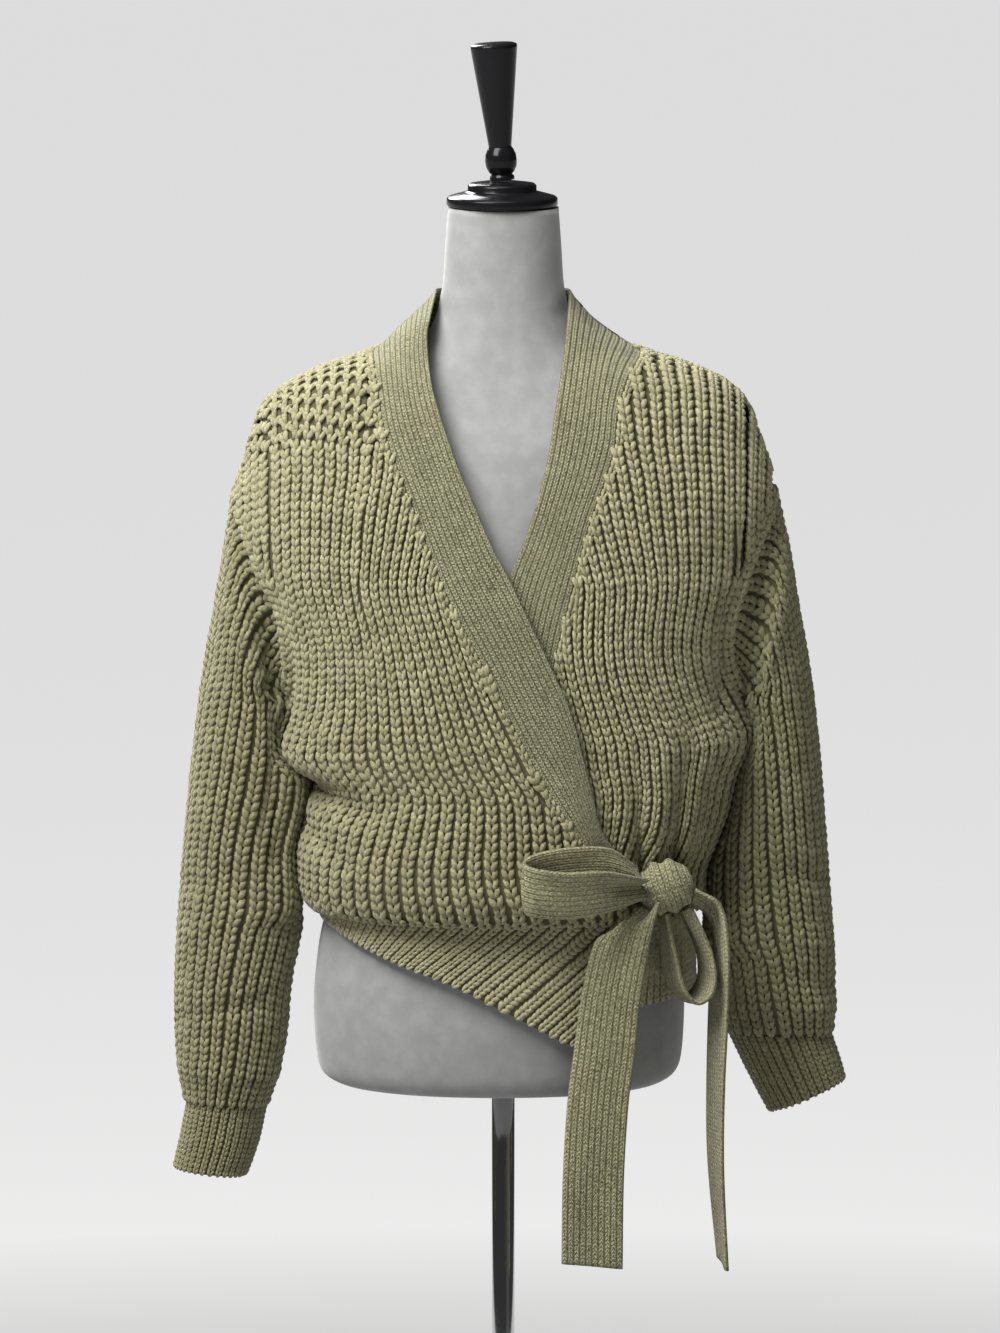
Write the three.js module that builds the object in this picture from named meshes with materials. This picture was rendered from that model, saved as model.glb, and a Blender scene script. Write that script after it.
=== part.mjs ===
// A wrap cardigan in chunky rib knit, tied at the side and worn by a limbless dress form on a
// chrome pole. Millimetres, +Z up, the front faces -Y, the origin is the middle of the base's foot.
import * as THREE from 'three';
import { mergeVertices } from 'three/addons/utils/BufferGeometryUtils.js';

// ---- driving sizes ----
const KNIT = 4.2;            // chunky rib knit, thickness of the wall at its valleys
const RIB = 1.7;             // how far a chunky rib stands out
const FINE = 3.0;            // fine knit of the band and the belt
const FINE_RIB = 1.0;        // relief of the hem and cuff ribs
const SEAM = 0.35;           // gap at each seam
const ROUND = 2.3;           // how square the body's sections are, 2 is an ellipse
const OVER_RIBS = 25;        // ribs across the front that lies on top
const UNDER_RIBS = 21;       // ribs across the front that lies under it
const BACK_RIBS = 30;
const SLEEVE_RIBS = 26;
const CUFF_RIBS = 24;
const WRAP_INSET = 9.4;      // how far the under front lies inside the upper one
const CHEST = 1192;          // height of the middle of the armholes
const HEM_TOP = 890.5;       // the hem rib runs up to here, inside the overhang

// Sections of the worn body: height, left and right side, depth to the front and to the back
const BODY = [
  { z: 889, left: 169, right: 178, front: 134, back: 129 },
  { z: 881, left: 175, right: 182.5, front: 141, back: 135 },
  { z: 884, left: 181, right: 184, front: 147, back: 139 },
  { z: 899, left: 186, right: 185, front: 151, back: 142 },
  { z: 920, left: 188, right: 186, front: 152, back: 142 },
  { z: 942, left: 188, right: 194, front: 150, back: 139 },
  { z: 972, left: 181, right: 206, front: 146, back: 133 },
  { z: 1001, left: 175, right: 213, front: 142, back: 128 },
  { z: 1026, left: 191, right: 219, front: 139, back: 124 },
  { z: 1050, left: 198, right: 222, front: 137, back: 121 },
  { z: 1078, left: 199, right: 217, front: 135, back: 119 },
  { z: 1130, left: 211, right: 218, front: 133, back: 117 },
  { z: 1192, left: 236, right: 237, front: 129, back: 116 },
  { z: 1240, left: 246, right: 247, front: 124, back: 115 },
  { z: 1268, left: 245, right: 248, front: 120, back: 113 },
  { z: 1292, left: 237, right: 243, front: 115, back: 110 },
  { z: 1320, left: 229, right: 233, front: 108, back: 105 },
  { z: 1345, left: 219, right: 224, front: 100, back: 99 },
  { z: 1365, left: 195, right: 205, front: 91, back: 93 },
  { z: 1380, left: 164, right: 174, front: 83, back: 87 },
  { z: 1396, left: 119, right: 127, front: 75, back: 81 },
  { z: 1420, left: 92, right: 88, front: 68, back: 75 },
  { z: 1440, left: 70, right: 68, front: 62, back: 69 },
  { z: 1453, left: 61, right: 60, front: 58, back: 65 },
];

// Soft gather folds that run up from the knot: x at the knot and above, how far out, how wide
const GATHERS = [
  { low: 112, high: 96, out: 4, wide: 8, top: 1110 },
  { low: 124, high: 122, out: -6.0, wide: 6, top: 1080 },
  { low: 137, high: 150, out: 8.0, wide: 9, top: 1130 },
  { low: 150, high: 172, out: -6.5, wide: 6, top: 1095 },
  { low: 163, high: 194, out: 7.0, wide: 9, top: 1120 },
];

// Seams and edges of the bands in the front view: x and height
const OVER_SEAM = [
  { x: -119, z: 1396 }, { x: -115, z: 1374 }, { x: -107, z: 1330 }, { x: -95, z: 1297 },
  { x: -81, z: 1263 }, { x: -65, z: 1220 }, { x: -49, z: 1182 }, { x: -12, z: 1110 },
  { x: 30, z: 1027 }, { x: 62, z: 976 }, { x: 88, z: 938 }, { x: 112, z: 915 },
];
const OVER_EDGE = [
  { x: -61, z: 1452 }, { x: -66, z: 1432 }, { x: -69, z: 1412 }, { x: -64, z: 1372 },
  { x: -51, z: 1330 }, { x: -39, z: 1298 }, { x: -25, z: 1266 }, { x: -9, z: 1229 },
  { x: 5, z: 1203 }, { x: 41, z: 1127 }, { x: 62, z: 1078 }, { x: 79, z: 1013 },
  { x: 92, z: 968 }, { x: 122, z: 932 },
];
const UNDER_SEAM = [
  { x: 127, z: 1396 }, { x: 113, z: 1377 }, { x: 104, z: 1347 }, { x: 101, z: 1318 },
  { x: 92, z: 1288 }, { x: 80, z: 1256 }, { x: 69, z: 1218 }, { x: 61, z: 1182 },
  { x: 50, z: 1130 }, { x: 34, z: 1060 }, { x: 16, z: 985 }, { x: 2, z: 925 },
];
const UNDER_EDGE = [
  { x: 60, z: 1452 }, { x: 59, z: 1438 }, { x: 55, z: 1402 }, { x: 47, z: 1352 },
  { x: 40, z: 1309 }, { x: 29, z: 1267 }, { x: 19, z: 1235 }, { x: 5, z: 1200 },
  { x: -10, z: 1150 }, { x: -26, z: 1080 }, { x: -42, z: 1000 }, { x: -52, z: 925 },
];

// The sleeve rings from the armhole to the cuff: the outer and inner end of each, half its depth
// and the middle's y. The first ring is the armhole itself.
const SLEEVE_RIGHT = [
  { outX: -245, outZ: 1268, inX: -202, inZ: 1072, deep: 0, midY: 0 },
  { outX: -253, outZ: 1222, inX: -207, inZ: 1056, deep: 57, midY: 1 },
  { outX: -262, outZ: 1166, inX: -208, inZ: 1034, deep: 57, midY: 3 },
  { outX: -274, outZ: 1098, inX: -196, inZ: 1008, deep: 57, midY: 6 },
  { outX: -283, outZ: 1030, inX: -190, inZ: 975, deep: 57, midY: 8 },
  { outX: -291, outZ: 952, inX: -194, inZ: 926, deep: 57, midY: 10 },
  { outX: -297, outZ: 880, inX: -188, inZ: 868, deep: 55, midY: 8 },
  { outX: -301, outZ: 800, inX: -198, inZ: 812, deep: 50, midY: 2 },
  { outX: -299, outZ: 742, inX: -204, inZ: 752, deep: 44, midY: -2 },
  { outX: -293, outZ: 702, inX: -219, inZ: 698, deep: 37, midY: -4 },
];
const CUFF_RIGHT = [
  { outX: -291, outZ: 701, inX: -220, inZ: 697, deep: 36, midY: -4 },
  { outX: -297, outZ: 670, inX: -227, inZ: 664, deep: 35, midY: -5 },
  { outX: -304, outZ: 639, inX: -238, inZ: 632, deep: 34, midY: -6 },
];
const SLEEVE_LEFT = [
  { outX: 247, outZ: 1268, inX: 222, inZ: 1072, deep: 0, midY: 0 },
  { outX: 259, outZ: 1222, inX: 228, inZ: 1056, deep: 56, midY: 2 },
  { outX: 268, outZ: 1168, inX: 229, inZ: 1032, deep: 58, midY: 5 },
  { outX: 281, outZ: 1092, inX: 224, inZ: 1004, deep: 58, midY: 8 },
  { outX: 289, outZ: 1022, inX: 216, inZ: 968, deep: 58, midY: 10 },
  { outX: 295, outZ: 950, inX: 205, inZ: 920, deep: 57, midY: 10 },
  { outX: 300, outZ: 885, inX: 198, inZ: 868, deep: 54, midY: 8 },
  { outX: 304, outZ: 815, inX: 199, inZ: 814, deep: 49, midY: 2 },
  { outX: 303, outZ: 766, inX: 205, inZ: 768, deep: 40, midY: -2 },
];
const CUFF_LEFT = [
  { outX: 301, outZ: 765.2, inX: 208, inZ: 767.2, deep: 36, midY: -3 },
  { outX: 309, outZ: 742, inX: 226, inZ: 730, deep: 35, midY: -5 },
  { outX: 315, outZ: 722, inX: 246, inZ: 692, deep: 34, midY: -7 },
];

// The dress form: height, half width, depth to the front and to the back
const FORM = [
  { z: 720, half: 136, front: 98, back: 95 },
  { z: 722, half: 154, front: 112, back: 109 },
  { z: 736, half: 167, front: 121, back: 118 },
  { z: 775, half: 171, front: 124, back: 121 },
  { z: 815, half: 170, front: 123, back: 120 },
  { z: 870, half: 162, front: 118, back: 115 },
  { z: 930, half: 140, front: 105, back: 101 },
  { z: 985, half: 122, front: 94, back: 90 },
  { z: 1045, half: 128, front: 100, back: 91 },
  { z: 1110, half: 143, front: 110, back: 97 },
  { z: 1180, half: 155, front: 113, back: 101 },
  { z: 1250, half: 166, front: 105, back: 99 },
  { z: 1305, half: 174, front: 92, back: 92 },
  { z: 1335, half: 172, front: 79, back: 82 },
  { z: 1354, half: 160, front: 70, back: 75 },
  { z: 1367, half: 140, front: 65, back: 70 },
  { z: 1383, half: 104, front: 60, back: 66 },
  { z: 1404, half: 76, front: 55, back: 61 },
  { z: 1428, half: 62, front: 51, back: 57 },
  { z: 1446, half: 57.6, front: 49, back: 55 },
  { z: 1463, half: 55, front: 48, back: 54 },
  { z: 1495, half: 53, front: 47, back: 52 },
  { z: 1528, half: 50.6, front: 46, back: 50 },
];
const FORM_LEAN = { low: -4, high: 0 };   // x of the form's middle at the hips and at the neck

// Outer face of the hem rib's sections
const HEM = [
  { z: 766, left: 179, right: 178, front: 134, back: 131 },
  { z: 830, left: 177, right: 176.5, front: 132, back: 128.5 },
  { z: 874, left: 168, right: 174, front: 130, back: 125 },
  { z: 894, left: 165.2, right: 173.6, front: 129.2, back: 124.8 },
];
const HEM_UNDER = 5.4;       // the under front's hem lies this far inside

// Lower edge of the hem rib, from the left side over the front, and round the back
const HEM_OVER = [
  { x: -172, z: 874 }, { x: -131, z: 858 }, { x: -95, z: 845 }, { x: -48, z: 829 },
  { x: 5, z: 803 }, { x: 53, z: 777 }, { x: 66, z: 772 },
];
const HEM_LEFT_Z = 874;
const HEM_RIGHT_Z = 809;
const HEM_OVER_END = 66;     // x of the upper front's corner
const HEM_UNDER_END = -20;   // x where the under hem ends, hidden

// Belt: middle line of each strip, with half its width along x, y and z
const LOOP_LEFT = [
  { x: 123.8, y: -131.2, z: 926, wx: 0, wy: -1, wz: 12 },
  { x: 97, y: -145, z: 936, wx: 0, wy: -2, wz: 22 },
  { x: 62, y: -155, z: 936, wx: 0, wy: -3, wz: 25 },
  { x: 32, y: -160, z: 932, wx: 0, wy: -4, wz: 25 },
  { x: 19, y: -168, z: 926, wx: -1, wy: -5, wz: 25 },
  { x: 28, y: -178, z: 922, wx: 0, wy: -8, wz: 24 },
  { x: 58, y: -181, z: 920, wx: 0, wy: -9, wz: 23 },
  { x: 92, y: -172, z: 922, wx: 0, wy: -8, wz: 21 },
  { x: 127.2, y: -138.8, z: 919, wx: 0, wy: -3, wz: 12 },
];
const LOOP_RIGHT = [
  { x: 147, y: -120.5, z: 895, wx: 4, wy: -10, wz: 0 },
  { x: 150, y: -113, z: 858, wx: 7, wy: -21, wz: 1 },
  { x: 157, y: -113, z: 826, wx: 8, wy: -24, wz: 0 },
  { x: 171, y: -112, z: 812, wx: 8, wy: -24, wz: 0 },
  { x: 185, y: -111, z: 826, wx: 8, wy: -24, wz: 0 },
  { x: 183, y: -111, z: 856, wx: 7, wy: -20, wz: 1 },
  { x: 165, y: -121, z: 897.6, wx: 4, wy: -9, wz: 3 },
];
const TAIL_LEFT = [
  { x: 133, y: -137.2, z: 900, wx: 11, wy: -1, wz: 4 },
  { x: 116, y: -149, z: 887, wx: 22, wy: 4, wz: 5 },
  { x: 107, y: -152, z: 868, wx: 26, wy: 2, wz: 1 },
  { x: 98, y: -150, z: 822, wx: 27, wy: -2, wz: 0 },
  { x: 92, y: -147, z: 770, wx: 28, wy: -3, wz: 0 },
  { x: 86, y: -145, z: 720, wx: 28, wy: -1, wz: 0 },
  { x: 82, y: -144, z: 650, wx: 28, wy: 2, wz: 0 },
  { x: 81, y: -143, z: 571, wx: 28, wy: 3, wz: -3 },
];
const TAIL_RIGHT = [
  { x: 172.6, y: -129, z: 911.5, wx: 3, wy: -4, wz: 9 },
  { x: 191, y: -117, z: 897, wx: 8, wy: -14, wz: 8 },
  { x: 198, y: -112, z: 868, wx: 7, wy: -24, wz: 2 },
  { x: 196, y: -107, z: 810, wx: 8, wy: -26, wz: 0 },
  { x: 194, y: -105, z: 735, wx: 7, wy: -26, wz: 0 },
  { x: 195, y: -104, z: 660, wx: 6, wy: -26, wz: 0 },
  { x: 202, y: -104, z: 566, wx: 4, wy: -27, wz: -2 },
];
const KNOT = { x: 148, y: -125.6, z: 919, wide: 25, deep: 15.5, high: 24, lean: -18 };

// Stand
const POLE_R = 10.6;
const BASE_R = 165;
const BASE_H = 12;
const CAP_Z = 1528.4;
const CAP_TILT = 3.6;        // degrees that the finial leans to the left

// ---- looks ----
const looks = {
  knit: new THREE.MeshStandardMaterial({ color: 0x8f8d68, roughness: 0.95, metalness: 0 }),
  band: new THREE.MeshStandardMaterial({ color: 0x8b8a66, roughness: 0.95, metalness: 0 }),
  velvet: new THREE.MeshStandardMaterial({ color: 0xa9acad, roughness: 0.9, metalness: 0 }),
  lacquer: new THREE.MeshStandardMaterial({ color: 0x0b0b0c, roughness: 0.22, metalness: 0 }),
  chrome: new THREE.MeshStandardMaterial({ color: 0xb4b4b6, roughness: 0.12, metalness: 1 }),
  iron: new THREE.MeshStandardMaterial({ color: 0x1c1c1e, roughness: 0.4, metalness: 0.3 }),
};

const cardigan = new THREE.Group();
const { min, max, abs, sin, cos, PI, sqrt, sign, acos, hypot } = Math;
const mix = (a, b, t) => a + (b - a) * t;
const clamp = (t) => min(1, max(0, t));
const smooth = (t) => clamp(t) * clamp(t) * (3 - 2 * clamp(t));

// Value of a table's column between its rows, on a smooth curve through them
function along(rows, key, r) {
  const last = rows.length - 1;
  const t = min(last, max(0, r));
  const i = min(last - 1, Math.floor(t));
  const f = t - i;
  const b = rows[i][key];
  const c = rows[i + 1][key];
  const a = i > 0 ? rows[i - 1][key] : 2 * b - c;
  const d = i < last - 1 ? rows[i + 2][key] : 2 * c - b;
  return b + 0.5 * f * (c - a + f * (2 * a - 5 * b + 4 * c - d + f * (3 * (b - c) + d - a)));
}

// Row number at which a rising or falling column reaches a value
function rowOf(rows, key, value, from = 0) {
  let lo = from;
  let hi = rows.length - 1;
  const up = rows[hi][key] > rows[from][key];
  for (let k = 0; k < 40; k += 1) {
    const m = (lo + hi) / 2;
    if ((along(rows, key, m) < value) === up) lo = m;
    else hi = m;
  }
  return (lo + hi) / 2;
}

// Column of a table against its x or height
const reach = (rows, by, value, key) => along(rows, key, rowOf(rows, by, value));

// Point of the worn body at row r and across value a: -1 left side, 0 middle, 1 right side.
// Its out vector is the body's outward direction there.
function bodyPoint(a, r, back = false, inset = 0) {
  const p = bodyPlace(a, r, back, inset);
  const last = BODY.length - 1;
  const up = bodyPlace(a, min(last, r + 0.05), back, inset).sub(bodyPlace(a, max(0, r - 0.05), back, inset));
  if (abs(a) > 0.995) {
    up.y = 0;
    p.out = new THREE.Vector3(sign(a) * up.z, 0, -sign(a) * up.x).normalize();
    return p;
  }
  const side = bodyPlace(min(1, a + 0.01), r, back, inset).sub(bodyPlace(max(-1, a - 0.01), r, back, inset));
  p.out = side.cross(up).multiplyScalar(back ? -1 : 1).normalize();
  return p;
}

function bodyPlace(a, r, back, inset) {
  const left = along(BODY, 'left', r);
  const right = along(BODY, 'right', r);
  const half = (left + right) / 2 - inset;
  const x = (right - left) / 2 + half * a;
  const z = along(BODY, 'z', r) + inset * 1.45 * (1 - smooth((r - 1) / 3.5));
  const deep = along(BODY, back ? 'back' : 'front', r) - inset;
  const rise = max(0, 1 - abs(a) ** ROUND) ** (1 / ROUND);
  let y = (back ? 1 : -1) * deep * rise;
  if (!back) y -= gather(x, z) * min(1, rise * 3);
  return new THREE.Vector3(x, y, z);
}

function gather(x, z) {
  let out = 0;
  for (const fold of GATHERS) {
    const t = (z - 925) / (fold.top - 925);
    const mid = mix(fold.low, fold.high, clamp(t));
    const wide = fold.wide * mix(0.8, 1.7, clamp(t));
    const grow = smooth((z - 899) / 24) * (1 - smooth(t));
    out += fold.out * grow * Math.exp(-(((x - mid) / wide) ** 2));
  }
  return out;
}

// How far across the body a given x is, at row r
function acrossOf(x, r) {
  const left = along(BODY, 'left', r);
  const right = along(BODY, 'right', r);
  return (x - (right - left) / 2) / ((left + right) / 2);
}

// The armholes cut the body's sides off between the underarm and the shoulder's tip
function armhole(z) {
  return 1 - 0.085 * sin(PI * clamp((z - 1074) / (1268 - 1074))) ** 0.9;
}

// Turns a grid of points into normals, by the neighbours of each point
function gridNormals(grid, closed) {
  const rows = grid.length;
  const cols = grid[0].length;
  const out = [];
  for (let j = 0; j < rows; j += 1) {
    out.push([]);
    for (let i = 0; i < cols; i += 1) {
      const l = closed ? (i + cols - 1) % cols : max(0, i - 1);
      const r = closed ? (i + 1) % cols : min(cols - 1, i + 1);
      const u = grid[j][r].clone().sub(grid[j][l]);
      const v = grid[min(rows - 1, j + 1)][i].clone().sub(grid[max(0, j - 1)][i]);
      out[j].push(u.cross(v).normalize());
    }
  }
  return out;
}

// A wall of cloth from a grid of points on its face. thick goes inwards, relief outwards.
function wall(name, look, grid, thick, relief = null, closed = false) {
  const normals = gridNormals(grid, closed);
  const rows = grid.length;
  const cols = grid[0].length;
  const points = [];
  for (const side of [0, 1]) {
    for (let j = 0; j < rows; j += 1) {
      for (let i = 0; i < cols; i += 1) {
        const step = side ? -thick : (relief ? relief(i, j) : 0);
        const out = grid[j][i].out || normals[j][i];
        points.push(new THREE.Vector3().copy(grid[j][i]).addScaledVector(out, step));
      }
    }
  }
  const at = (side, j, i) => side * rows * cols + j * cols + (closed ? i % cols : i);
  const faces = [];
  const quad = (a, b, c, d) => faces.push(a, b, c, a, c, d);
  const spans = closed ? cols : cols - 1;
  for (let j = 0; j < rows - 1; j += 1) {
    for (let i = 0; i < spans; i += 1) {
      quad(at(0, j, i), at(0, j, i + 1), at(0, j + 1, i + 1), at(0, j + 1, i));
      quad(at(1, j, i), at(1, j + 1, i), at(1, j + 1, i + 1), at(1, j, i + 1));
    }
  }
  for (let i = 0; i < spans; i += 1) {
    quad(at(0, 0, i), at(1, 0, i), at(1, 0, i + 1), at(0, 0, i + 1));
    quad(at(0, rows - 1, i), at(0, rows - 1, i + 1), at(1, rows - 1, i + 1), at(1, rows - 1, i));
  }
  if (!closed) {
    for (let j = 0; j < rows - 1; j += 1) {
      quad(at(0, j, 0), at(0, j + 1, 0), at(1, j + 1, 0), at(1, j, 0));
      const e = cols - 1;
      quad(at(0, j, e), at(1, j, e), at(1, j + 1, e), at(0, j + 1, e));
    }
  }
  addSolid(name, look, points, faces);
}

function addSolid(name, look, points, faces) {
  const flat = new Float32Array(points.length * 3);
  points.forEach((p, k) => p.toArray(flat, k * 3));
  let volume = 0;
  for (let k = 0; k < faces.length; k += 3) {
    const [a, b, c] = [points[faces[k]], points[faces[k + 1]], points[faces[k + 2]]];
    volume += a.dot(b.clone().cross(c));
  }
  if (volume < 0) {
    for (let k = 0; k < faces.length; k += 3) {
      [faces[k + 1], faces[k + 2]] = [faces[k + 2], faces[k + 1]];
    }
  }
  const shape = new THREE.BufferGeometry();
  shape.setAttribute('position', new THREE.BufferAttribute(flat, 3));
  shape.setIndex(faces);
  addMesh(name, look, shape);
}

function addMesh(name, look, shape) {
  shape.deleteAttribute('normal');
  shape.deleteAttribute('uv');
  const mesh = new THREE.Mesh(mergeVertices(shape, 1e-4), look);
  mesh.name = name;
  cardigan.add(mesh);
  return mesh;
}

// Alternate columns stand out as ribs, and the last column on each side stays low at its seam
const ribs = (cols, height) => (i) => (i % 2 && i < cols - 1 ? height : 0);

// ---- the fronts: their columns fan from the shoulder down to the knot ----
// How far up its column each row of the wall lies: close rows where the shoulder rounds over
const RISE_SHOULDER = [0, 0.16, 0.38, 0.62, 0.82, 0.93, 0.985, 1];
const RISE_NECK = [0, 0.13, 0.28, 0.45, 0.62, 0.76, 0.88, 1];

function frontPanel(spec) {
  const { side, seam, inset } = spec;
  const count = spec.ribs * 2;
  const grid = [];
  const columns = [];
  const lowR = 3;
  const bottomZ = along(BODY, 'z', lowR);
  const seamX = (z) => {
    const rows = seam;
    const zz = min(rows[0].z, max(rows[rows.length - 1].z, z));
    return reach(rows, 'z', zz, 'x');
  };
  const key = side < 0 ? 'left' : 'right';
  const chestR = rowOf(BODY, 'z', CHEST, 4);
  // corner is given for the column that ends where the shoulder meets the band
  const column = (s, corner) => {
    const turn = spec.turn * s;
    const lowA = -sign(cos(turn)) * abs(cos(turn)) ** (2 / ROUND);
    const midA = -1 + spec.chestPitch * s;
    const chestX = midA * armhole(CHEST) * along(BODY, key, chestR);
    // across value of this column at height z, in the sense -1 at its own side
    const path = (z) => {
      if (z <= CHEST) {
        const t = clamp((z - bottomZ) / (CHEST - bottomZ));
        return mix(lowA, midA, 1 - (1 - t) ** spec.bend) * armhole(z);
      }
      if (s === 0) return -armhole(z);
      const t = (z - CHEST) / (spec.topZ - CHEST);
      const x = chestX + (corner ? corner - chestX : spec.spread(s, chestX)) * t;
      return x / along(BODY, key, rowOf(BODY, 'z', z, 4));
    };
    // height at which the column meets the shoulder's ridge or the band's seam
    let lo = bottomZ;
    let hi = spec.topZ;
    for (let k = 0; k < 36 && !corner; k += 1) {
      const z = (lo + hi) / 2;
      const a = path(z);
      const x = bodyPoint(side < 0 ? a : -a, rowOf(BODY, 'z', z, 4)).x;
      const past = side < 0 ? x > seamX(z) - 1 : x < seamX(z) + 1;
      const over = s > 0 ? past || (a < -1 && z > CHEST) : z > 1268;
      if (over) hi = z;
      else lo = z;
    }
    const topZ = corner ? spec.topZ : (lo + hi) / 2;
    const onRidge = smooth((-path(topZ) - 0.86) / 0.1);
    return { path, topZ, onRidge };
  };
  for (let i = 0; i <= count; i += 1) columns.push(column(i / count));
  const last = columns.findLastIndex((c) => c.onRidge > 0.9);
  columns[last] = column(last / count, -abs(seam[0].x));
  const steps = RISE_SHOULDER.length;
  for (let j = 0; j < steps + lowR; j += 1) {
    const row = [];
    for (const { path, topZ, onRidge } of columns) {
      const up = max(0, j - lowR);
      const ease = mix(RISE_NECK[up], RISE_SHOULDER[up], onRidge);
      const z = j <= lowR ? along(BODY, 'z', j) : mix(bottomZ, topZ, ease);
      const r = j <= lowR ? j : rowOf(BODY, 'z', z, lowR);
      let a = j <= lowR ? path(bottomZ) : path(z);
      a = max(-1, a);
      const across = side < 0 ? a : -a;
      const p = bodyPoint(across, r, false, inset(bodyPoint(across, r)));
      if (abs(a) > 0.995) p.y = -SEAM / 2;
      row.push(p);
    }
    grid.push(side < 0 ? row : row.reverse());
  }
  return grid;
}

const edgeX = (z) => reach(OVER_EDGE, 'z', min(1452, max(932, z)), 'x');
// The under front sinks below the upper front and its band
const underInset = (p) => WRAP_INSET * smooth((edgeX(p.z) + 62 - p.x) / 54);

const overGrid = frontPanel({
  side: -1, seam: OVER_SEAM, ribs: OVER_RIBS, turn: 122 * PI / 180, bend: 1.5, chestPitch: 1.1,
  topZ: 1396, inset: () => 0,
  spread: (s, x) => mix(-6, 26, smooth((x + 216) / 170)),
});
wall('front_right', looks.knit, overGrid, KNIT, ribs(OVER_RIBS * 2 + 1, RIB));

const underGrid = frontPanel({
  side: 1, seam: UNDER_SEAM, ribs: UNDER_RIBS, turn: 96 * PI / 180, bend: 1.7, chestPitch: 0.97,
  topZ: 1396, inset: underInset,
  spread: (s, x) => mix(-6, 22, smooth((x + 216) / 170)),
});
wall('front_left', looks.knit, underGrid, KNIT, ribs(UNDER_RIBS * 2 + 1, RIB));

// ---- the back: columns straight up to the shoulders and the back of the neck ----
function backPanel() {
  const count = BACK_RIBS * 2;
  const lowR = 3;
  const bottomZ = along(BODY, 'z', lowR);
  const grid = [];
  const columns = [];
  const steps = RISE_SHOULDER.length;
  for (let i = 0; i <= count; i += 1) {
    const s = (i / count) * 2 - 1;
    const lowA = sign(s) * abs(sin(s * PI / 2)) ** (2 / ROUND);
    const key = s < 0 ? 'left' : 'right';
    // along the shoulder to the neck, then the neck seam
    const tip = 1268;
    const neckR = rowOf(BODY, 'z', 1396, 4);
    const neckX = along(BODY, key, neckR);
    const tipX = along(BODY, key, rowOf(BODY, 'z', tip, 4));
    const topX = abs(s) > 0.42 ? mix(neckX, tipX, ((abs(s) - 0.42) / 0.58) ** 1.0) : neckX * abs(s) / 0.42;
    let topZ;
    if (abs(s) > 0.42) topZ = BODY[0] && along(BODY, 'z', rowOf(BODY, key, topX, 14));
    else topZ = 1390 + 6 * (abs(s) / 0.42) ** 2;
    if (abs(s) === 1) topZ = tip;
    columns.push({ s, key, lowA, topX, topZ });
  }
  for (let j = 0; j < steps + lowR; j += 1) {
    const row = [];
    for (const c of columns) {
      const up = max(0, j - lowR);
      const ease = mix(RISE_NECK[up], RISE_SHOULDER[up], smooth((abs(c.s) - 0.36) / 0.12));
      const z = j <= lowR ? along(BODY, 'z', j) : mix(bottomZ, c.topZ, ease);
      const r = j <= lowR ? j : rowOf(BODY, 'z', z, lowR);
      let a;
      if (z <= CHEST) {
        const t = j <= lowR ? 0 : clamp((z - bottomZ) / (CHEST - bottomZ));
        a = mix(c.lowA, c.s, t) * armhole(z);
      } else {
        const t = (z - CHEST) / (c.topZ - CHEST);
        const chestR = rowOf(BODY, 'z', CHEST, 4);
        const chestX = c.s * armhole(CHEST) * along(BODY, c.key, chestR);
        const x = mix(chestX, sign(c.s) * c.topX, t);
        a = x / along(BODY, c.key, r);
        if (abs(c.s) === 1) a = sign(c.s) * armhole(z);
      }
      a = max(-1, min(1, a));
      const p = bodyPoint(a, r, true);
      if (abs(a) > 0.995) p.y = SEAM / 2;
      row.push(p);
    }
    grid.push(row);
  }
  return grid;
}
const backGrid = backPanel().map((row) => row.reverse());
wall('back', looks.knit, backGrid, KNIT, ribs(BACK_RIBS * 2 + 1, RIB));

// ---- bands along the fronts and round the neck ----
function bandGrid(seam, edge, side, steps, inset, panel) {
  const grid = [];
  const top = panel[panel.length - 1].filter((p) => side * p.x < side * seam[0].x + 2.5);
  const line = (side < 0 ? top : top.reverse());
  const seamAt = (z) => {
    const k = max(1, line.findIndex((p) => p.z <= z));
    const [p, q] = [line[k - 1], line[k]];
    return mix(p.x, q.x, clamp((p.z - z) / (p.z - q.z)));
  };
  for (let j = 0; j <= steps; j += 1) {
    const t = j / steps;
    const a = { x: along(seam, 'x', t * (seam.length - 1)), z: along(seam, 'z', t * (seam.length - 1)) };
    if (a.z > line[line.length - 1].z) a.x = seamAt(a.z) - side * 0.8;
    const b = { x: along(edge, 'x', t * (edge.length - 1)), z: along(edge, 'z', t * (edge.length - 1)) };
    const row = [];
    for (let i = 0; i <= 2; i += 1) {
      const f = i / 2;
      const x = mix(a.x, b.x, f);
      const z = mix(a.z, b.z, f);
      const r = rowOf(BODY, 'z', z, 4);
      const across = max(-1, min(1, acrossOf(x, r)));
      const p = bodyPoint(across, r, false, inset(bodyPoint(across, r)));
      if (t === 0) p.y = -SEAM / 2;
      row.push(p);
    }
    grid.push(side < 0 ? row.reverse() : row);
  }
  return grid;
}
wall('band_right', looks.band, bandGrid(OVER_SEAM, OVER_EDGE, -1, 24, () => 0, overGrid), FINE);
wall('band_left', looks.band, bandGrid(UNDER_SEAM, UNDER_EDGE, 1, 20, underInset, underGrid), FINE);

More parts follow.
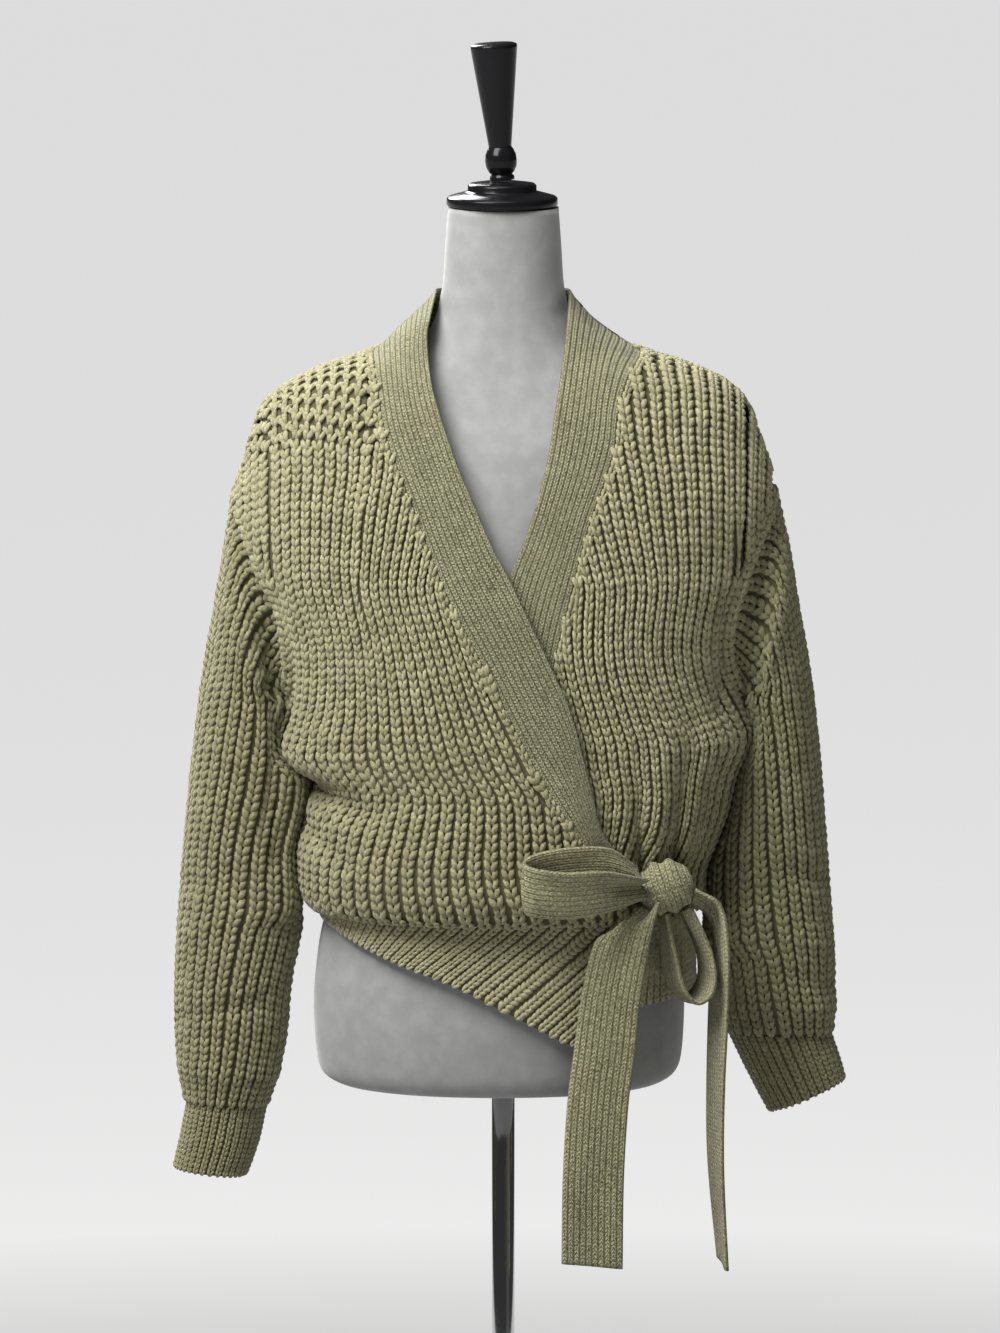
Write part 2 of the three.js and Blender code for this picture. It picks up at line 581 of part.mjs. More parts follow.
function neckBand() {
  const grid = [];
  const steps = 14;
  for (let j = 0; j <= steps; j += 1) {
    const s = (j / steps) * 2 - 1;
    const key = s < 0 ? 'left' : 'right';
    const row = [];
    for (let i = 0; i <= 2; i += 1) {
      const a = sign(s) * abs(sin(s * PI / 2)) ** (2 / ROUND);
      const low = 1391.7 + 5.8 * a * a;
      const z = mix(low, mix(1446, 1452.4, abs(s)), i / 2);
      const r = rowOf(BODY, 'z', z, 4);
      const p = bodyPoint(a, r, true);
      if (abs(s) > 0.99) p.y = SEAM / 2;
      row.push(p);
    }
    grid.push(row);
  }
  return grid;
}
wall('band_neck', looks.band, neckBand(), FINE);

// ---- sleeves ----
// Edge of a panel, from its lowest point up
const edgeOf = (grid, first) => grid.slice(3).map((row) => (first ? row[0] : row[row.length - 1]));
const EDGES = {
  right: { front: edgeOf(overGrid, true), back: edgeOf(backGrid, false) },
  left: { front: edgeOf(underGrid, false), back: edgeOf(backGrid, true) },
};

function armholePoint(side, turn) {
  // turn 0 is the shoulder's tip, half a turn is the underarm, the front comes first
  const z = mix(1072, 1267.5, (1 + cos(turn)) / 2);
  const line = EDGES[side < 0 ? 'right' : 'left'][sin(turn) < 0 ? 'back' : 'front'];
  const k = max(1, line.findIndex((p) => p.z >= z));
  const p = line[k - 1].clone().lerp(line[k], clamp((z - line[k - 1].z) / (line[k].z - line[k - 1].z)));
  if (abs(sin(turn)) < 1e-6) p.y = 0;
  return p;
}

function sleeveGrid(rows, side, ribCount, rings, body) {
  const grid = [];
  const count = ribCount * 2;
  for (let j = 0; j <= rings; j += 1) {
    const r = (j / rings) * (rows.length - 1);
    const at = (key) => along(rows, key, r);
    const row = [];
    for (let i = 0; i < count; i += 1) {
      const turn = (i / count) * 2 * PI;
      const mid = new THREE.Vector3((at('outX') + at('inX')) / 2, at('midY'), (at('outZ') + at('inZ')) / 2);
      const out = new THREE.Vector3((at('outX') - at('inX')) / 2, 0, (at('outZ') - at('inZ')) / 2);
      const c = cos(turn);
      const q = sin(turn);
      const p = mid.clone().addScaledVector(out, sign(c) * abs(c) ** 0.9);
      p.y -= at('deep') * sign(q) * abs(q) ** 0.9;
      if (body && r < 1) {
        const h = armholePoint(side, turn);
        h.x += side * (2 + (side < 0 ? 5 : 8.8) * sin(turn / 2) ** 2);
        p.lerp(h, 1 - smooth(r));
      }
      row.push(p);
    }
    grid.push(row);
  }
  return side < 0 ? grid.map((row) => row.reverse()) : grid;
}
const around = (height) => (i) => (i % 2 ? height : 0);
wall('sleeve_right', looks.knit, sleeveGrid(SLEEVE_RIGHT, -1, SLEEVE_RIBS, 8, true), KNIT, around(RIB), true);
wall('sleeve_left', looks.knit, sleeveGrid(SLEEVE_LEFT, 1, SLEEVE_RIBS, 7, true), KNIT, around(RIB), true);
wall('cuff_right', looks.knit, sleeveGrid(CUFF_RIGHT, -1, CUFF_RIBS, 1, false), FINE, around(FINE_RIB), true);
wall('cuff_left', looks.knit, sleeveGrid(CUFF_LEFT, 1, CUFF_RIBS, 1, false), FINE, around(FINE_RIB), true);

// ---- dress form ----
function formPoint(turn, r) {
  // turn 0 is the left side, a quarter turn is the front
  const c = cos(turn);
  const q = sin(turn);
  const half = along(FORM, 'half', r);
  const deep = along(FORM, q > 0 ? 'front' : 'back', r);
  const mid = mix(FORM_LEAN.low, FORM_LEAN.high, clamp((along(FORM, 'z', r) - 800) / 620));
  const x = mid - half * sign(c) * abs(c) ** (2 / 2.2);
  return new THREE.Vector3(x, -deep * sign(q) * abs(q) ** (2 / 2.2), along(FORM, 'z', r));
}

function formSolid() {
  const sides = 24;
  const points = [];
  const faces = [];
  const levels = FORM.length;
  for (let j = 0; j < levels; j += 1) {
    for (let i = 0; i < sides; i += 1) points.push(formPoint((i / sides) * 2 * PI, j));
  }
  const low = points.push(new THREE.Vector3(FORM_LEAN.low, 0, FORM[0].z)) - 1;
  const high = points.push(new THREE.Vector3(FORM_LEAN.high, 0, FORM[levels - 1].z)) - 1;
  for (let i = 0; i < sides; i += 1) {
    const n = (i + 1) % sides;
    for (let j = 0; j < levels - 1; j += 1) {
      const a = j * sides;
      const b = a + sides;
      faces.push(a + i, a + n, b + n, a + i, b + n, b + i);
    }
    faces.push(low, n, i);
    faces.push(high, (levels - 1) * sides + i, (levels - 1) * sides + n);
  }
  addSolid('form_torso', looks.velvet, points, faces);
}
formSolid();

// ---- hem ribs, round the form below the overhang ----
// turn 0 is the left side, a quarter turn is the front
function hemPoint(turn, z, inside) {
  const r = rowOf(HEM, 'z', z);
  const c = cos(turn);
  const q = sin(turn);
  const left = along(HEM, 'left', r);
  const right = along(HEM, 'right', r);
  const half = (left + right) / 2 - inside;
  const deep = along(HEM, q > 0 ? 'front' : 'back', r) - inside;
  const x = (right - left) / 2 - half * sign(c) * abs(c) ** (2 / ROUND);
  return new THREE.Vector3(x, -deep * sign(q) * abs(q) ** (2 / ROUND), z);
}

function hemGrid(from, to, count, inside, lowest) {
  const grid = [];
  for (const up of [0, 1]) {
    const row = [];
    for (let i = 0; i <= count; i += 1) {
      const turn = mix(from, to, i / count);
      const x = hemPoint(turn, 830, 0).x;
      row.push(hemPoint(turn, mix(lowest(x), HEM_TOP, up), inside(x)));
    }
    grid.push(row);
  }
  return grid;
}

function hemTurn(x) {
  let lo = 0;
  let hi = PI;
  for (let k = 0; k < 30; k += 1) {
    const m = (lo + hi) / 2;
    if (hemPoint(m, 830, 0).x < x) lo = m;
    else hi = m;
  }
  return lo;
}
const overLow = (x) => reach(HEM_OVER, 'x', max(-172, min(HEM_OVER_END, x)), 'z');
const underLow = (x) => max(mix(HEM_RIGHT_Z, 800, smooth((170 - x) / 100)), overLow(x) + 10 - max(0, x - 66));
const backLow = (x) => mix(HEM_LEFT_Z, HEM_RIGHT_Z, smooth((x + 170) / 340));
const underHemInset = (x) => HEM_UNDER * (1 - smooth((x - 78) / 40));
const gapTurn = SEAM / 2 / 170;
const hemOver = hemGrid(gapTurn, hemTurn(HEM_OVER_END), 98, () => 0, overLow);
const hemUnder = hemGrid(hemTurn(HEM_UNDER_END), PI - gapTurn, 60, underHemInset, underLow);
const hemBack = hemGrid(-PI + gapTurn, -gapTurn, 96, () => 0, backLow);
wall('hem_right', looks.knit, hemOver, FINE, ribs(99, FINE_RIB));
wall('hem_left', looks.knit, hemUnder, FINE - 0.8, ribs(61, FINE_RIB));
wall('hem_back', looks.knit, hemBack, FINE, ribs(97, FINE_RIB));

// ---- belt ----
function strip(name, rows, steps, thick) {
  const grid = [];
  for (let j = 0; j <= steps; j += 1) {
    const r = (j / steps) * (rows.length - 1);
    const mid = new THREE.Vector3(along(rows, 'x', r), along(rows, 'y', r), along(rows, 'z', r));
    const half = new THREE.Vector3(along(rows, 'wx', r), along(rows, 'wy', r), along(rows, 'wz', r));
    const row = [];
    for (let i = -1; i <= 1; i += 1) row.push(mid.clone().addScaledVector(half, i));
    grid.push(row);
  }
  const normals = gridNormals(grid, false);
  grid.forEach((row, j) => row.forEach((p, i) => p.addScaledVector(normals[j][i], thick / 2)));
  wall(name, looks.band, grid, thick);
}
strip('belt_loop_left', LOOP_LEFT, 18, FINE);
strip('belt_loop_right', LOOP_RIGHT, 16, FINE);
strip('belt_tail_left', TAIL_LEFT, 13, FINE);
strip('belt_tail_right', TAIL_RIGHT, 12, FINE);

function knot() {
  const shape = new THREE.SphereGeometry(1, 16, 10);
  shape.scale(KNOT.wide, KNOT.deep, KNOT.high);
  shape.rotateY(KNOT.lean * PI / 180);
  shape.translate(KNOT.x, KNOT.y, KNOT.z);
  addMesh('belt_knot', looks.band, shape);
}
knot();

// ---- stand: cap, finial, pole and base ----
function turned(name, look, profile, segments) {
  const outline = profile.map(([r, z]) => new THREE.Vector2(r, z));
  const shape = new THREE.LatheGeometry(outline, segments);
  shape.rotateX(PI / 2);
  return addMesh(name, look, shape);
}
const cap = turned('neck_cap', looks.lacquer, [
  [0, 0], [47, 0], [50.6, 1.6], [51, 4], [50.6, 8.2], [48.5, 10], [36, 13.4], [31.5, 14.6],
  [31.5, 19.6], [29.5, 21.6], [16, 23.4], [0, 23.8],
], 22);
cap.position.set(-1, 0, CAP_Z);
const finial = turned('finial', looks.lacquer, [
  [0, 0], [11.6, 0], [11.2, 3], [9.4, 5], [11.6, 7], [14, 12], [14.6, 17.5], [14, 23],
  [11.6, 28.4], [10.4, 30], [10.6, 32], [21.4, 121], [21, 123.6], [18, 125], [0, 125.4],
], 18);
finial.position.set(-1, 0, CAP_Z + 24.9);
finial.rotation.set(0, -CAP_TILT * PI / 180, 0);
const pole = new THREE.CylinderGeometry(POLE_R, POLE_R, 719.7 - BASE_H - 0.3, 24);
pole.rotateX(PI / 2);
pole.translate(0, 0, (719.7 + BASE_H + 0.3) / 2);
addMesh('pole', looks.chrome, pole);
turned('base_plate', looks.iron, [
  [0, 0], [BASE_R - 1.5, 0], [BASE_R, 1.5], [BASE_R, BASE_H - 5], [BASE_R - 3, BASE_H - 1.5],
  [BASE_R - 12, BASE_H], [0, BASE_H],
], 36);

export default cardigan;
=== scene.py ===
# A wrap cardigan in chunky rib knit, tied at the side and worn by a dress form on a pole.
# Tables are in millimetres, meshes in metres, +Z up, and the front faces -Y. Left and right are the
# wearer's in the names of pieces, and -X and +X in the tables of sections.
import math
import bmesh
import bpy
import numpy as np
from bpy.props import FloatProperty, FloatVectorProperty, IntProperty, PointerProperty
from mathutils import Matrix, Vector


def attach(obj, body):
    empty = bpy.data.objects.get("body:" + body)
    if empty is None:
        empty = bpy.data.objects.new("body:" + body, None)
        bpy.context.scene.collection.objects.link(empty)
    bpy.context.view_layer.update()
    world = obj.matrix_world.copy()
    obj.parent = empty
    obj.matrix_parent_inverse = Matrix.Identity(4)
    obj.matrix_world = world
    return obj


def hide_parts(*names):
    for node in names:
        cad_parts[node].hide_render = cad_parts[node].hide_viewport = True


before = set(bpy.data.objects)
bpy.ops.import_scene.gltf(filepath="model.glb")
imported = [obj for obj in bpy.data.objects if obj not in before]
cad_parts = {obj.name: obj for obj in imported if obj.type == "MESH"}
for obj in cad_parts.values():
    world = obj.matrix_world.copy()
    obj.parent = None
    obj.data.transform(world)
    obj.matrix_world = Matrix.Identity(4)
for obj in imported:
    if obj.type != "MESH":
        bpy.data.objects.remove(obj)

bl_info = {
    "name": "Wrap cardigan",
    "version": (1, 0, 0),
    "blender": (4, 5, 0),
    "location": "View3D > Sidebar > Cardigan",
    "description": "Builds a knitted wrap cardigan on a dress form",
    "category": "Object",
}

MM = 0.001
ROUND = 2.3          # how square the body's sections are, 2 is an ellipse
FORM_ROUND = 2.2     # the same for the dress form
SEAM = 0.35          # gap at each seam
CHEST = 1192.0       # height of the middle of the armholes
HEM_TOP = 890.5
WRAP_INSET = 9.4     # how far the under front lies inside the upper one
HEM_UNDER = 5.4      # the same for the hem
STITCH_LIFT = 0.6    # how far a stitch's middle lies off its ground
STITCH_DEEP = 8.6    # a stitch's depth
FRONT_DEEP = 7.8
TRIM_LIFT = 0.3
CAP_RIBS = 3         # ribs beyond a panel's first one
SHADE_SEED = 7
WOBBLE = 0.09        # how much stitches differ in size
WOBBLE_SEED = 4
PLUMP = 14.5         # the widest that a body's stitch gets
FINE_ACROSS = 31     # points across a fine-knit strip
SLEEVE_GAP = 3.4     # how far a sleeve's inner side keeps from the body's surface
REST_LOW = {-1: 862, 1: 832}  # a sleeve rests on the body from here
REST_TOP = 1096               # up to here
# A shell's steps along a rib, and how far out and in it lies from the weave
BODY_GROUND = (64, -0.4, 3.2)
CUFF_GROUND = (14, 0.0, 2.0)
HEM_GROUND = (16, 0.1, 1.8)
TWIST = 0.75         # how far the sleeves' ribs turn from the cuff to the armhole
NECK_Z = 1396.0      # where the shoulder seams meet the band
TIP_Z = 1268.0       # top of the armholes
KEYS = {-1: "left", 1: "right"}
# Colours of the fine knit and of the stand's metal
BAND_LIGHT = (0.56, 0.545, 0.33, 1)
BAND_DARK = (0.2, 0.195, 0.1, 1)
BELT_LIGHT = (0.6, 0.58, 0.34, 1)
BELT_DARK = (0.19, 0.182, 0.088, 1)
YARN_SHEEN = (0.8, 0.8, 0.66, 1)
CHROME = (0.62, 0.62, 0.63, 1)
IRON = (0.02, 0.02, 0.022, 1)
# Lamps: name, place, what it points at, size in metres, watts, colour, spread in degrees
LAMPS = (
    ("key", (-1.4, -1.35, 3.5), (0, 0, 1.2), 1.7, 168, (1, 0.99, 0.97), 180),
    ("fill", (3.4, -3.2, 1.7), (0, 0, 1.0), 2.6, 1.0, (0.98, 0.99, 1), 180),
    ("top", (-0.3, -0.6, 3.6), (0, 0, 1.0), 1.4, 22, (1, 1, 1), 180),
    ("back", (-0.9, 2.0, 2.6), (0, 0, 1.2), 1.2, 16, (1, 1, 1), 75))
CAMERA = (-0.003, -8.913, 2.357)
CAMERA_AIM = (-0.003, 0, 1.104)
CAMERA_LENS = 264.2
WORLD_LIGHT = 0.04
FLOOR_HALF = 45
FLOOR_GLOW = 0.7     # light that the far floor gives off, so that it reads as a pale backdrop
GLOW_FROM = 0.9      # metres from the pole where the glow starts


# ---- tables and curves ----
class Table:
    """Rows of sizes with named columns, read on a smooth curve through them"""

    def __init__(self, names, *rows):
        self.names = names.split()
        self.rows = np.array(rows, float)
        self.last = len(rows) - 1

    def at(self, name, r):
        col = self.rows[:, self.names.index(name)]
        t = np.clip(np.asarray(r, float), 0, self.last)
        i = np.minimum(self.last - 1, np.floor(t)).astype(int)
        f = t - i
        b = col[i]
        c = col[i + 1]
        a = np.where(i > 0, col[np.maximum(i - 1, 0)], 2 * b - c)
        d = np.where(i < self.last - 1, col[np.minimum(i + 2, self.last)], 2 * c - b)
        return b + 0.5 * f * (c - a + f * (2 * a - 5 * b + 4 * c - d + f * (3 * (b - c) + d - a)))

    def row(self, name, value, start=0):
        t = np.linspace(start, self.last, 3000)
        v = self.at(name, t)
        if v[-1] < v[0]:
            return np.interp(value, v[::-1], t[::-1])
        return np.interp(value, v, t)

    def reach(self, by, value, name):
        return self.at(name, self.row(by, value))


BODY = Table(
    "z left right front back",
    (892, 169, 178, 134, 129), (886.5, 175, 182.5, 141, 135), (889.5, 181, 184, 147, 139),
    (902, 186, 185, 151, 142), (920, 188, 186, 152, 142), (942, 188, 194, 150, 139),
    (972, 181, 206, 146, 133), (1001, 175, 213, 142, 128), (1026, 191, 219, 139, 124),
    (1050, 198, 222, 137, 121), (1078, 199, 217, 135, 119), (1130, 211, 218, 133, 117),
    (1192, 236, 237, 129, 116), (1240, 246, 247, 124, 115), (1268, 245, 248, 120, 113),
    (1292, 237, 243, 115, 110), (1320, 229, 233, 108, 105), (1345, 219, 224, 100, 99),
    (1365, 195, 205, 91, 93), (1380, 164, 174, 83, 87), (1396, 119, 127, 75, 81),
    (1420, 92, 88, 68, 75), (1440, 70, 68, 62, 69), (1453, 61, 60, 58, 65))
# Soft folds that run up from the knot: x below, x above, height, width, top
GATHERS = (
    (112, 96, 4, 8, 1110), (124, 122, -6.0, 6, 1080), (137, 150, 8.0, 9, 1130),
    (150, 172, -6.5, 6, 1095), (163, 194, 7.0, 9, 1120))
OVER_SEAM = Table(
    "x z", (-119, 1396), (-115, 1374), (-107, 1330), (-95, 1297), (-81, 1263), (-65, 1220),
    (-49, 1182), (-12, 1110), (30, 1027), (62, 976), (88, 938), (112, 915))
OVER_EDGE = Table(
    "x z", (-61, 1452), (-66, 1432), (-69, 1412), (-64, 1372), (-51, 1330), (-39, 1298),
    (-25, 1266), (-9, 1229), (5, 1203), (41, 1127), (62, 1078), (79, 1013), (92, 968), (122, 932))
UNDER_SEAM = Table(
    "x z", (127, 1396), (113, 1377), (104, 1347), (101, 1318), (92, 1288), (80, 1256),
    (69, 1218), (61, 1182), (50, 1130), (34, 1060), (16, 985), (2, 925))
UNDER_EDGE = Table(
    "x z", (60, 1452), (59, 1438), (55, 1402), (47, 1352), (40, 1309), (29, 1267), (19, 1235),
    (5, 1200), (-10, 1150), (-26, 1080), (-42, 1000), (-52, 925))
RING = "outX outZ inX inZ deep midY"
SLEEVE_RIGHT = Table(
    RING, (-245, 1268, -202, 1072, 0, 0), (-253, 1222, -207, 1056, 57, 1),
    (-262, 1166, -208, 1034, 57, 3), (-274, 1098, -196, 1008, 57, 6), (-283, 1030, -190, 975, 57, 8),
    (-291, 952, -194, 926, 57, 10), (-297, 880, -188, 868, 55, 8), (-301, 800, -198, 812, 50, 2),
    (-299, 742, -204, 752, 44, -2), (-293, 702, -219, 698, 37, -4))
CUFF_RIGHT = Table(
    RING, (-291, 701, -220, 697, 36, -4), (-297, 670, -227, 664, 35, -5),
    (-304, 639, -238, 632, 34, -6))
SLEEVE_LEFT = Table(
    RING, (247, 1268, 222, 1072, 0, 0), (259, 1222, 228, 1056, 56, 2), (268, 1168, 229, 1032, 58, 5),
    (281, 1092, 224, 1004, 58, 8), (289, 1022, 216, 968, 58, 10), (295, 950, 205, 920, 57, 10),
    (300, 885, 198, 868, 54, 8), (304, 815, 199, 814, 49, 2), (303, 766, 205, 768, 40, -2))
CUFF_LEFT = Table(
    RING, (301, 765.2, 208, 767.2, 36, -3), (309, 742, 226, 730, 35, -5),
    (315, 722, 246, 692, 34, -7))
FORM = Table(
    "z half front back",
    (720, 136, 98, 95), (722, 154, 112, 109), (736, 167, 121, 118), (775, 171, 124, 121),
    (815, 170, 123, 120), (870, 162, 118, 115), (930, 140, 105, 101), (985, 122, 94, 90),
    (1045, 128, 100, 91), (1110, 143, 110, 97), (1180, 155, 113, 101), (1250, 166, 105, 99),
    (1305, 174, 92, 92), (1335, 172, 79, 82), (1354, 160, 70, 75), (1367, 140, 65, 70),
    (1383, 104, 60, 66), (1404, 76, 55, 61), (1428, 62, 51, 57), (1446, 57.6, 49, 55),
    (1463, 55, 48, 54), (1495, 53, 47, 52), (1528, 50.6, 46, 50))
HEM = Table(
    "z left right front back", (766, 179, 178, 134, 131), (830, 177, 176.5, 132, 128.5),
    (874, 168, 174, 130, 125), (894, 165.2, 173.6, 129.2, 124.8))
HEM_OVER = Table(
    "x z", (-172, 874), (-131, 858), (-95, 845), (-48, 829), (5, 803), (53, 777), (66, 772))
HEM_LEFT_Z = 874
HEM_RIGHT_Z = 809
HEM_OVER_END = 66
HEM_UNDER_END = -20
STRIP = "x y z wx wy wz"
LOOP_LEFT = Table(
    STRIP, (123.8, -131.2, 926, 0, -1, 12), (97, -145, 936, 0, -2, 22), (62, -155, 936, 0, -3, 25),
    (32, -160, 932, 0, -4, 25), (19, -168, 926, -1, -5, 25), (28, -178, 922, 0, -8, 24),
    (58, -181, 920, 0, -9, 23), (92, -172, 922, 0, -8, 21), (127.2, -138.8, 919, 0, -3, 12))
LOOP_RIGHT = Table(
    STRIP, (147, -120.5, 895, 4, -10, 0), (150, -113, 858, 7, -21, 1), (157, -113, 826, 8, -24, 0),
    (171, -112, 812, 8, -24, 0), (185, -111, 826, 8, -24, 0), (183, -111, 856, 7, -20, 1),
    (165, -121, 897.6, 4, -9, 3))
TAIL_LEFT = Table(
    STRIP, (133, -137.2, 900, 11, -1, 4), (116, -149, 887, 22, 4, 5), (107, -152, 868, 26, 2, 1),
    (98, -150, 822, 27, -2, 0), (92, -147, 770, 28, -3, 0), (86, -145, 720, 28, -1, 0),
    (82, -144, 650, 28, 2, 0), (81, -143, 571, 28, 3, -3))
TAIL_RIGHT = Table(
    STRIP, (172.6, -129, 911.5, 3, -4, 9), (191, -117, 897, 8, -14, 8), (198, -112, 868, 7, -24, 2),
    (196, -107, 810, 8, -26, 0), (194, -105, 735, 7, -26, 0), (195, -104, 660, 6, -26, 0),
    (202, -104, 566, 4, -27, -2))
# How far the worn cloth bulges past the body's sides
SIDE_PUSH = Table(
    "z left right", (880, 0, 0), (960, 0, 0), (996, 0, 0), (1005, 2, 0), (1014, 10, 1),
    (1030, 13, 5), (1044, 9, 8), (1070, 3, 5), (1100, 0, 1), (1150, 0, 0), (1460, 0, 0))
KNOT = dict(x=148, y=-125.6, z=919, wide=25, deep=15.5, high=24, lean=-18)

# Soft troughs (minus) and ridges in the worn cloth: both ends in x and z, height, width, and where it
# lies, -1 in front, 1 behind, 0 all round
CREASES = {
    "body": (
        ((-186, 1002), (-118, 985), -4.5, 8, -1),
        ((-190, 968), (-140, 938), -3.0, 8, -1),
        ((-182, 985), (-128, 963), 2.6, 9, -1),
        ((-196, 1060), (-150, 1020), -2.6, 12, -1),
        ((-60, 905), (60, 912), 2.0, 14, -1),
        ((196, 1075), (205, 1180), -3.5, 9, -1),
        ((-196, 1080), (-205, 1180), -3.5, 9, -1),
        ((-60, 1320), (-190, 1180), 1.6, 16, -1),
        ((-110, 925), (-80, 1060), -3.2, 12, 1),
        ((-40, 915), (-35, 1030), -2.6, 10, 1),
        ((45, 918), (30, 1070), -3.4, 12, 1),
        ((120, 925), (85, 1050), -3.0, 11, 1),
        ((186, 1000), (110, 975), -4.0, 9, 1),
        ((-186, 1005), (-120, 990), -4.0, 9, 1)),
    "sleeve_right": (
        ((-213, 1180), (-212, 930), -5.0, 9, -1),
        ((-292, 905), (-235, 925), -2.6, 10, -1),
        ((-290, 860), (-215, 890), 2.2, 12, -1),
        ((-298, 780), (-225, 800), -2.6, 10, -1),
        ((-270, 1120), (-225, 1070), -2.2, 14, -1),
        ((-290, 735), (-215, 728), 2.4, 9, 0),
        ((-280, 950), (-210, 930), -3.0, 10, 1),
        ((-285, 890), (-215, 905), -3.4, 11, 1),
        ((-240, 1170), (-225, 1040), -4.0, 12, 1)),
    "sleeve_left": (
        ((236, 1180), (226, 1040), -3.6, 10, -1),
        ((300, 905), (240, 930), -2.6, 10, -1),
        ((296, 850), (225, 880), 2.2, 12, -1),
        ((302, 812), (240, 830), -2.6, 10, -1),
        ((300, 790), (215, 790), 2.4, 9, 0),
        ((285, 955), (215, 935), -3.2, 10, 1),
        ((290, 890), (220, 905), -3.0, 11, 1),
        ((248, 1170), (232, 1040), -4.0, 12, 1)),
}


def mix(a, b, t):
    return a + (b - a) * t


def smooth(t):
    t = np.clip(t, 0, 1)
    return t * t * (3 - 2 * t)


def power(v, n):
    return np.sign(v) * np.abs(v) ** n


def unit(v):
    return v / np.maximum(1e-9, np.linalg.norm(v, axis=-1, keepdims=True))


def stack(x, y, z):
    return np.stack(np.broadcast_arrays(x, y, z), axis=-1).astype(float)


def gather(x, z):
    """How far the folds above the knot stand out"""
    out = 0.0
    for low, high, height, wide, top in GATHERS:
        t = (z - 925) / (top - 925)
        mid = mix(low, high, np.clip(t, 0, 1))
        wide = wide * mix(0.8, 1.7, np.clip(t, 0, 1))
        grow = smooth((z - 899) / 24) * (1 - smooth(t))
        out = out + height * grow * np.exp(-(((x - mid) / wide) ** 2))
    return out


def body(a, r, back=False, inset=0.0):
    """Point of the worn body: a is -1 at the left side and 1 at the right, r a row of the table"""
    left = BODY.at("left", r)
    right = BODY.at("right", r)
    x = (right - left) / 2 + ((left + right) / 2 - inset) * a
    z = BODY.at("z", r) + inset * 1.45 * (1 - smooth((r - 1) / 3.5))
    rise = np.maximum(0, 1 - np.abs(a) ** ROUND) ** (1 / ROUND)
    y = (1 if back else -1) * (BODY.at("back" if back else "front", r) - inset) * rise
    if not back:
        y = y - gather(x, z) * np.minimum(1, rise * 3)
    push = np.where(a < 0, -SIDE_PUSH.reach("z", z, "left"), SIDE_PUSH.reach("z", z, "right"))
    x = x + push * smooth((np.abs(a) - 0.55) / 0.4)
    return stack(x, y, z)


def side_x(side, y, z):
    """Where the body's side lies at a depth and a height"""
    r = BODY.row("z", z, 3)
    left = BODY.at("left", r)
    right = BODY.at("right", r)
    deep = np.where(y < 0, BODY.at("front", r), BODY.at("back", r))
    rise = np.maximum(0, 1 - np.minimum(1, np.abs(y) / deep) ** ROUND) ** (1 / ROUND)
    push = SIDE_PUSH.reach("z", z, KEYS[side])
    return (right - left) / 2 + side * ((left + right) / 2 * rise + push)


def across_at(x, r):
    """Across value of a place x on a row of the body"""
    left = BODY.at("left", r)
    right = BODY.at("right", r)
    return np.clip((x - (right - left) / 2) / ((left + right) / 2), -1, 1)


def arc_of(line):
    """Length along a line of points, at each point"""
    return np.concatenate([[0], np.cumsum(np.linalg.norm(np.diff(line, axis=0), axis=1))])


def armhole(z):
    """How far in the armhole's edge lies at a height"""
    return 1 - 0.085 * np.sin(np.pi * np.clip((z - 1074) / 194, 0, 1)) ** 0.9


def edge_x(z):
    return OVER_EDGE.reach("z", np.clip(z, 932, 1452), "x")


def under_inset(p):
    """How far in the left front lies, where the right one covers it"""
    return WRAP_INSET * smooth((edge_x(p[..., 2]) + 62 - p[..., 0]) / 54)


def no_inset(p):
    return np.zeros(p.shape[:-1])


def creased(points, normals, table):
    """Moves points in and out along their normals by the soft creases of a table"""
    move = np.zeros(points.shape[:-1])
    flat = points[..., [0, 2]]
    for a, b, out, wide, face in table:
        a = np.array(a, float)
        along = np.array(b, float) - a
        t = ((flat - a) @ along) / (along @ along)
        near = a + np.clip(t, 0, 1)[..., None] * along
        d = np.linalg.norm(flat - near, axis=-1)
        fade = smooth((t + 0.35) / 0.5) * smooth((1.35 - t) / 0.5)
        side = 1.0 if face == 0 else smooth(face * normals[..., 1] * 2.5 + 0.2)
        move += out * np.exp(-((d / wide) ** 2)) * fade * side
    return points + normals * move[..., None]


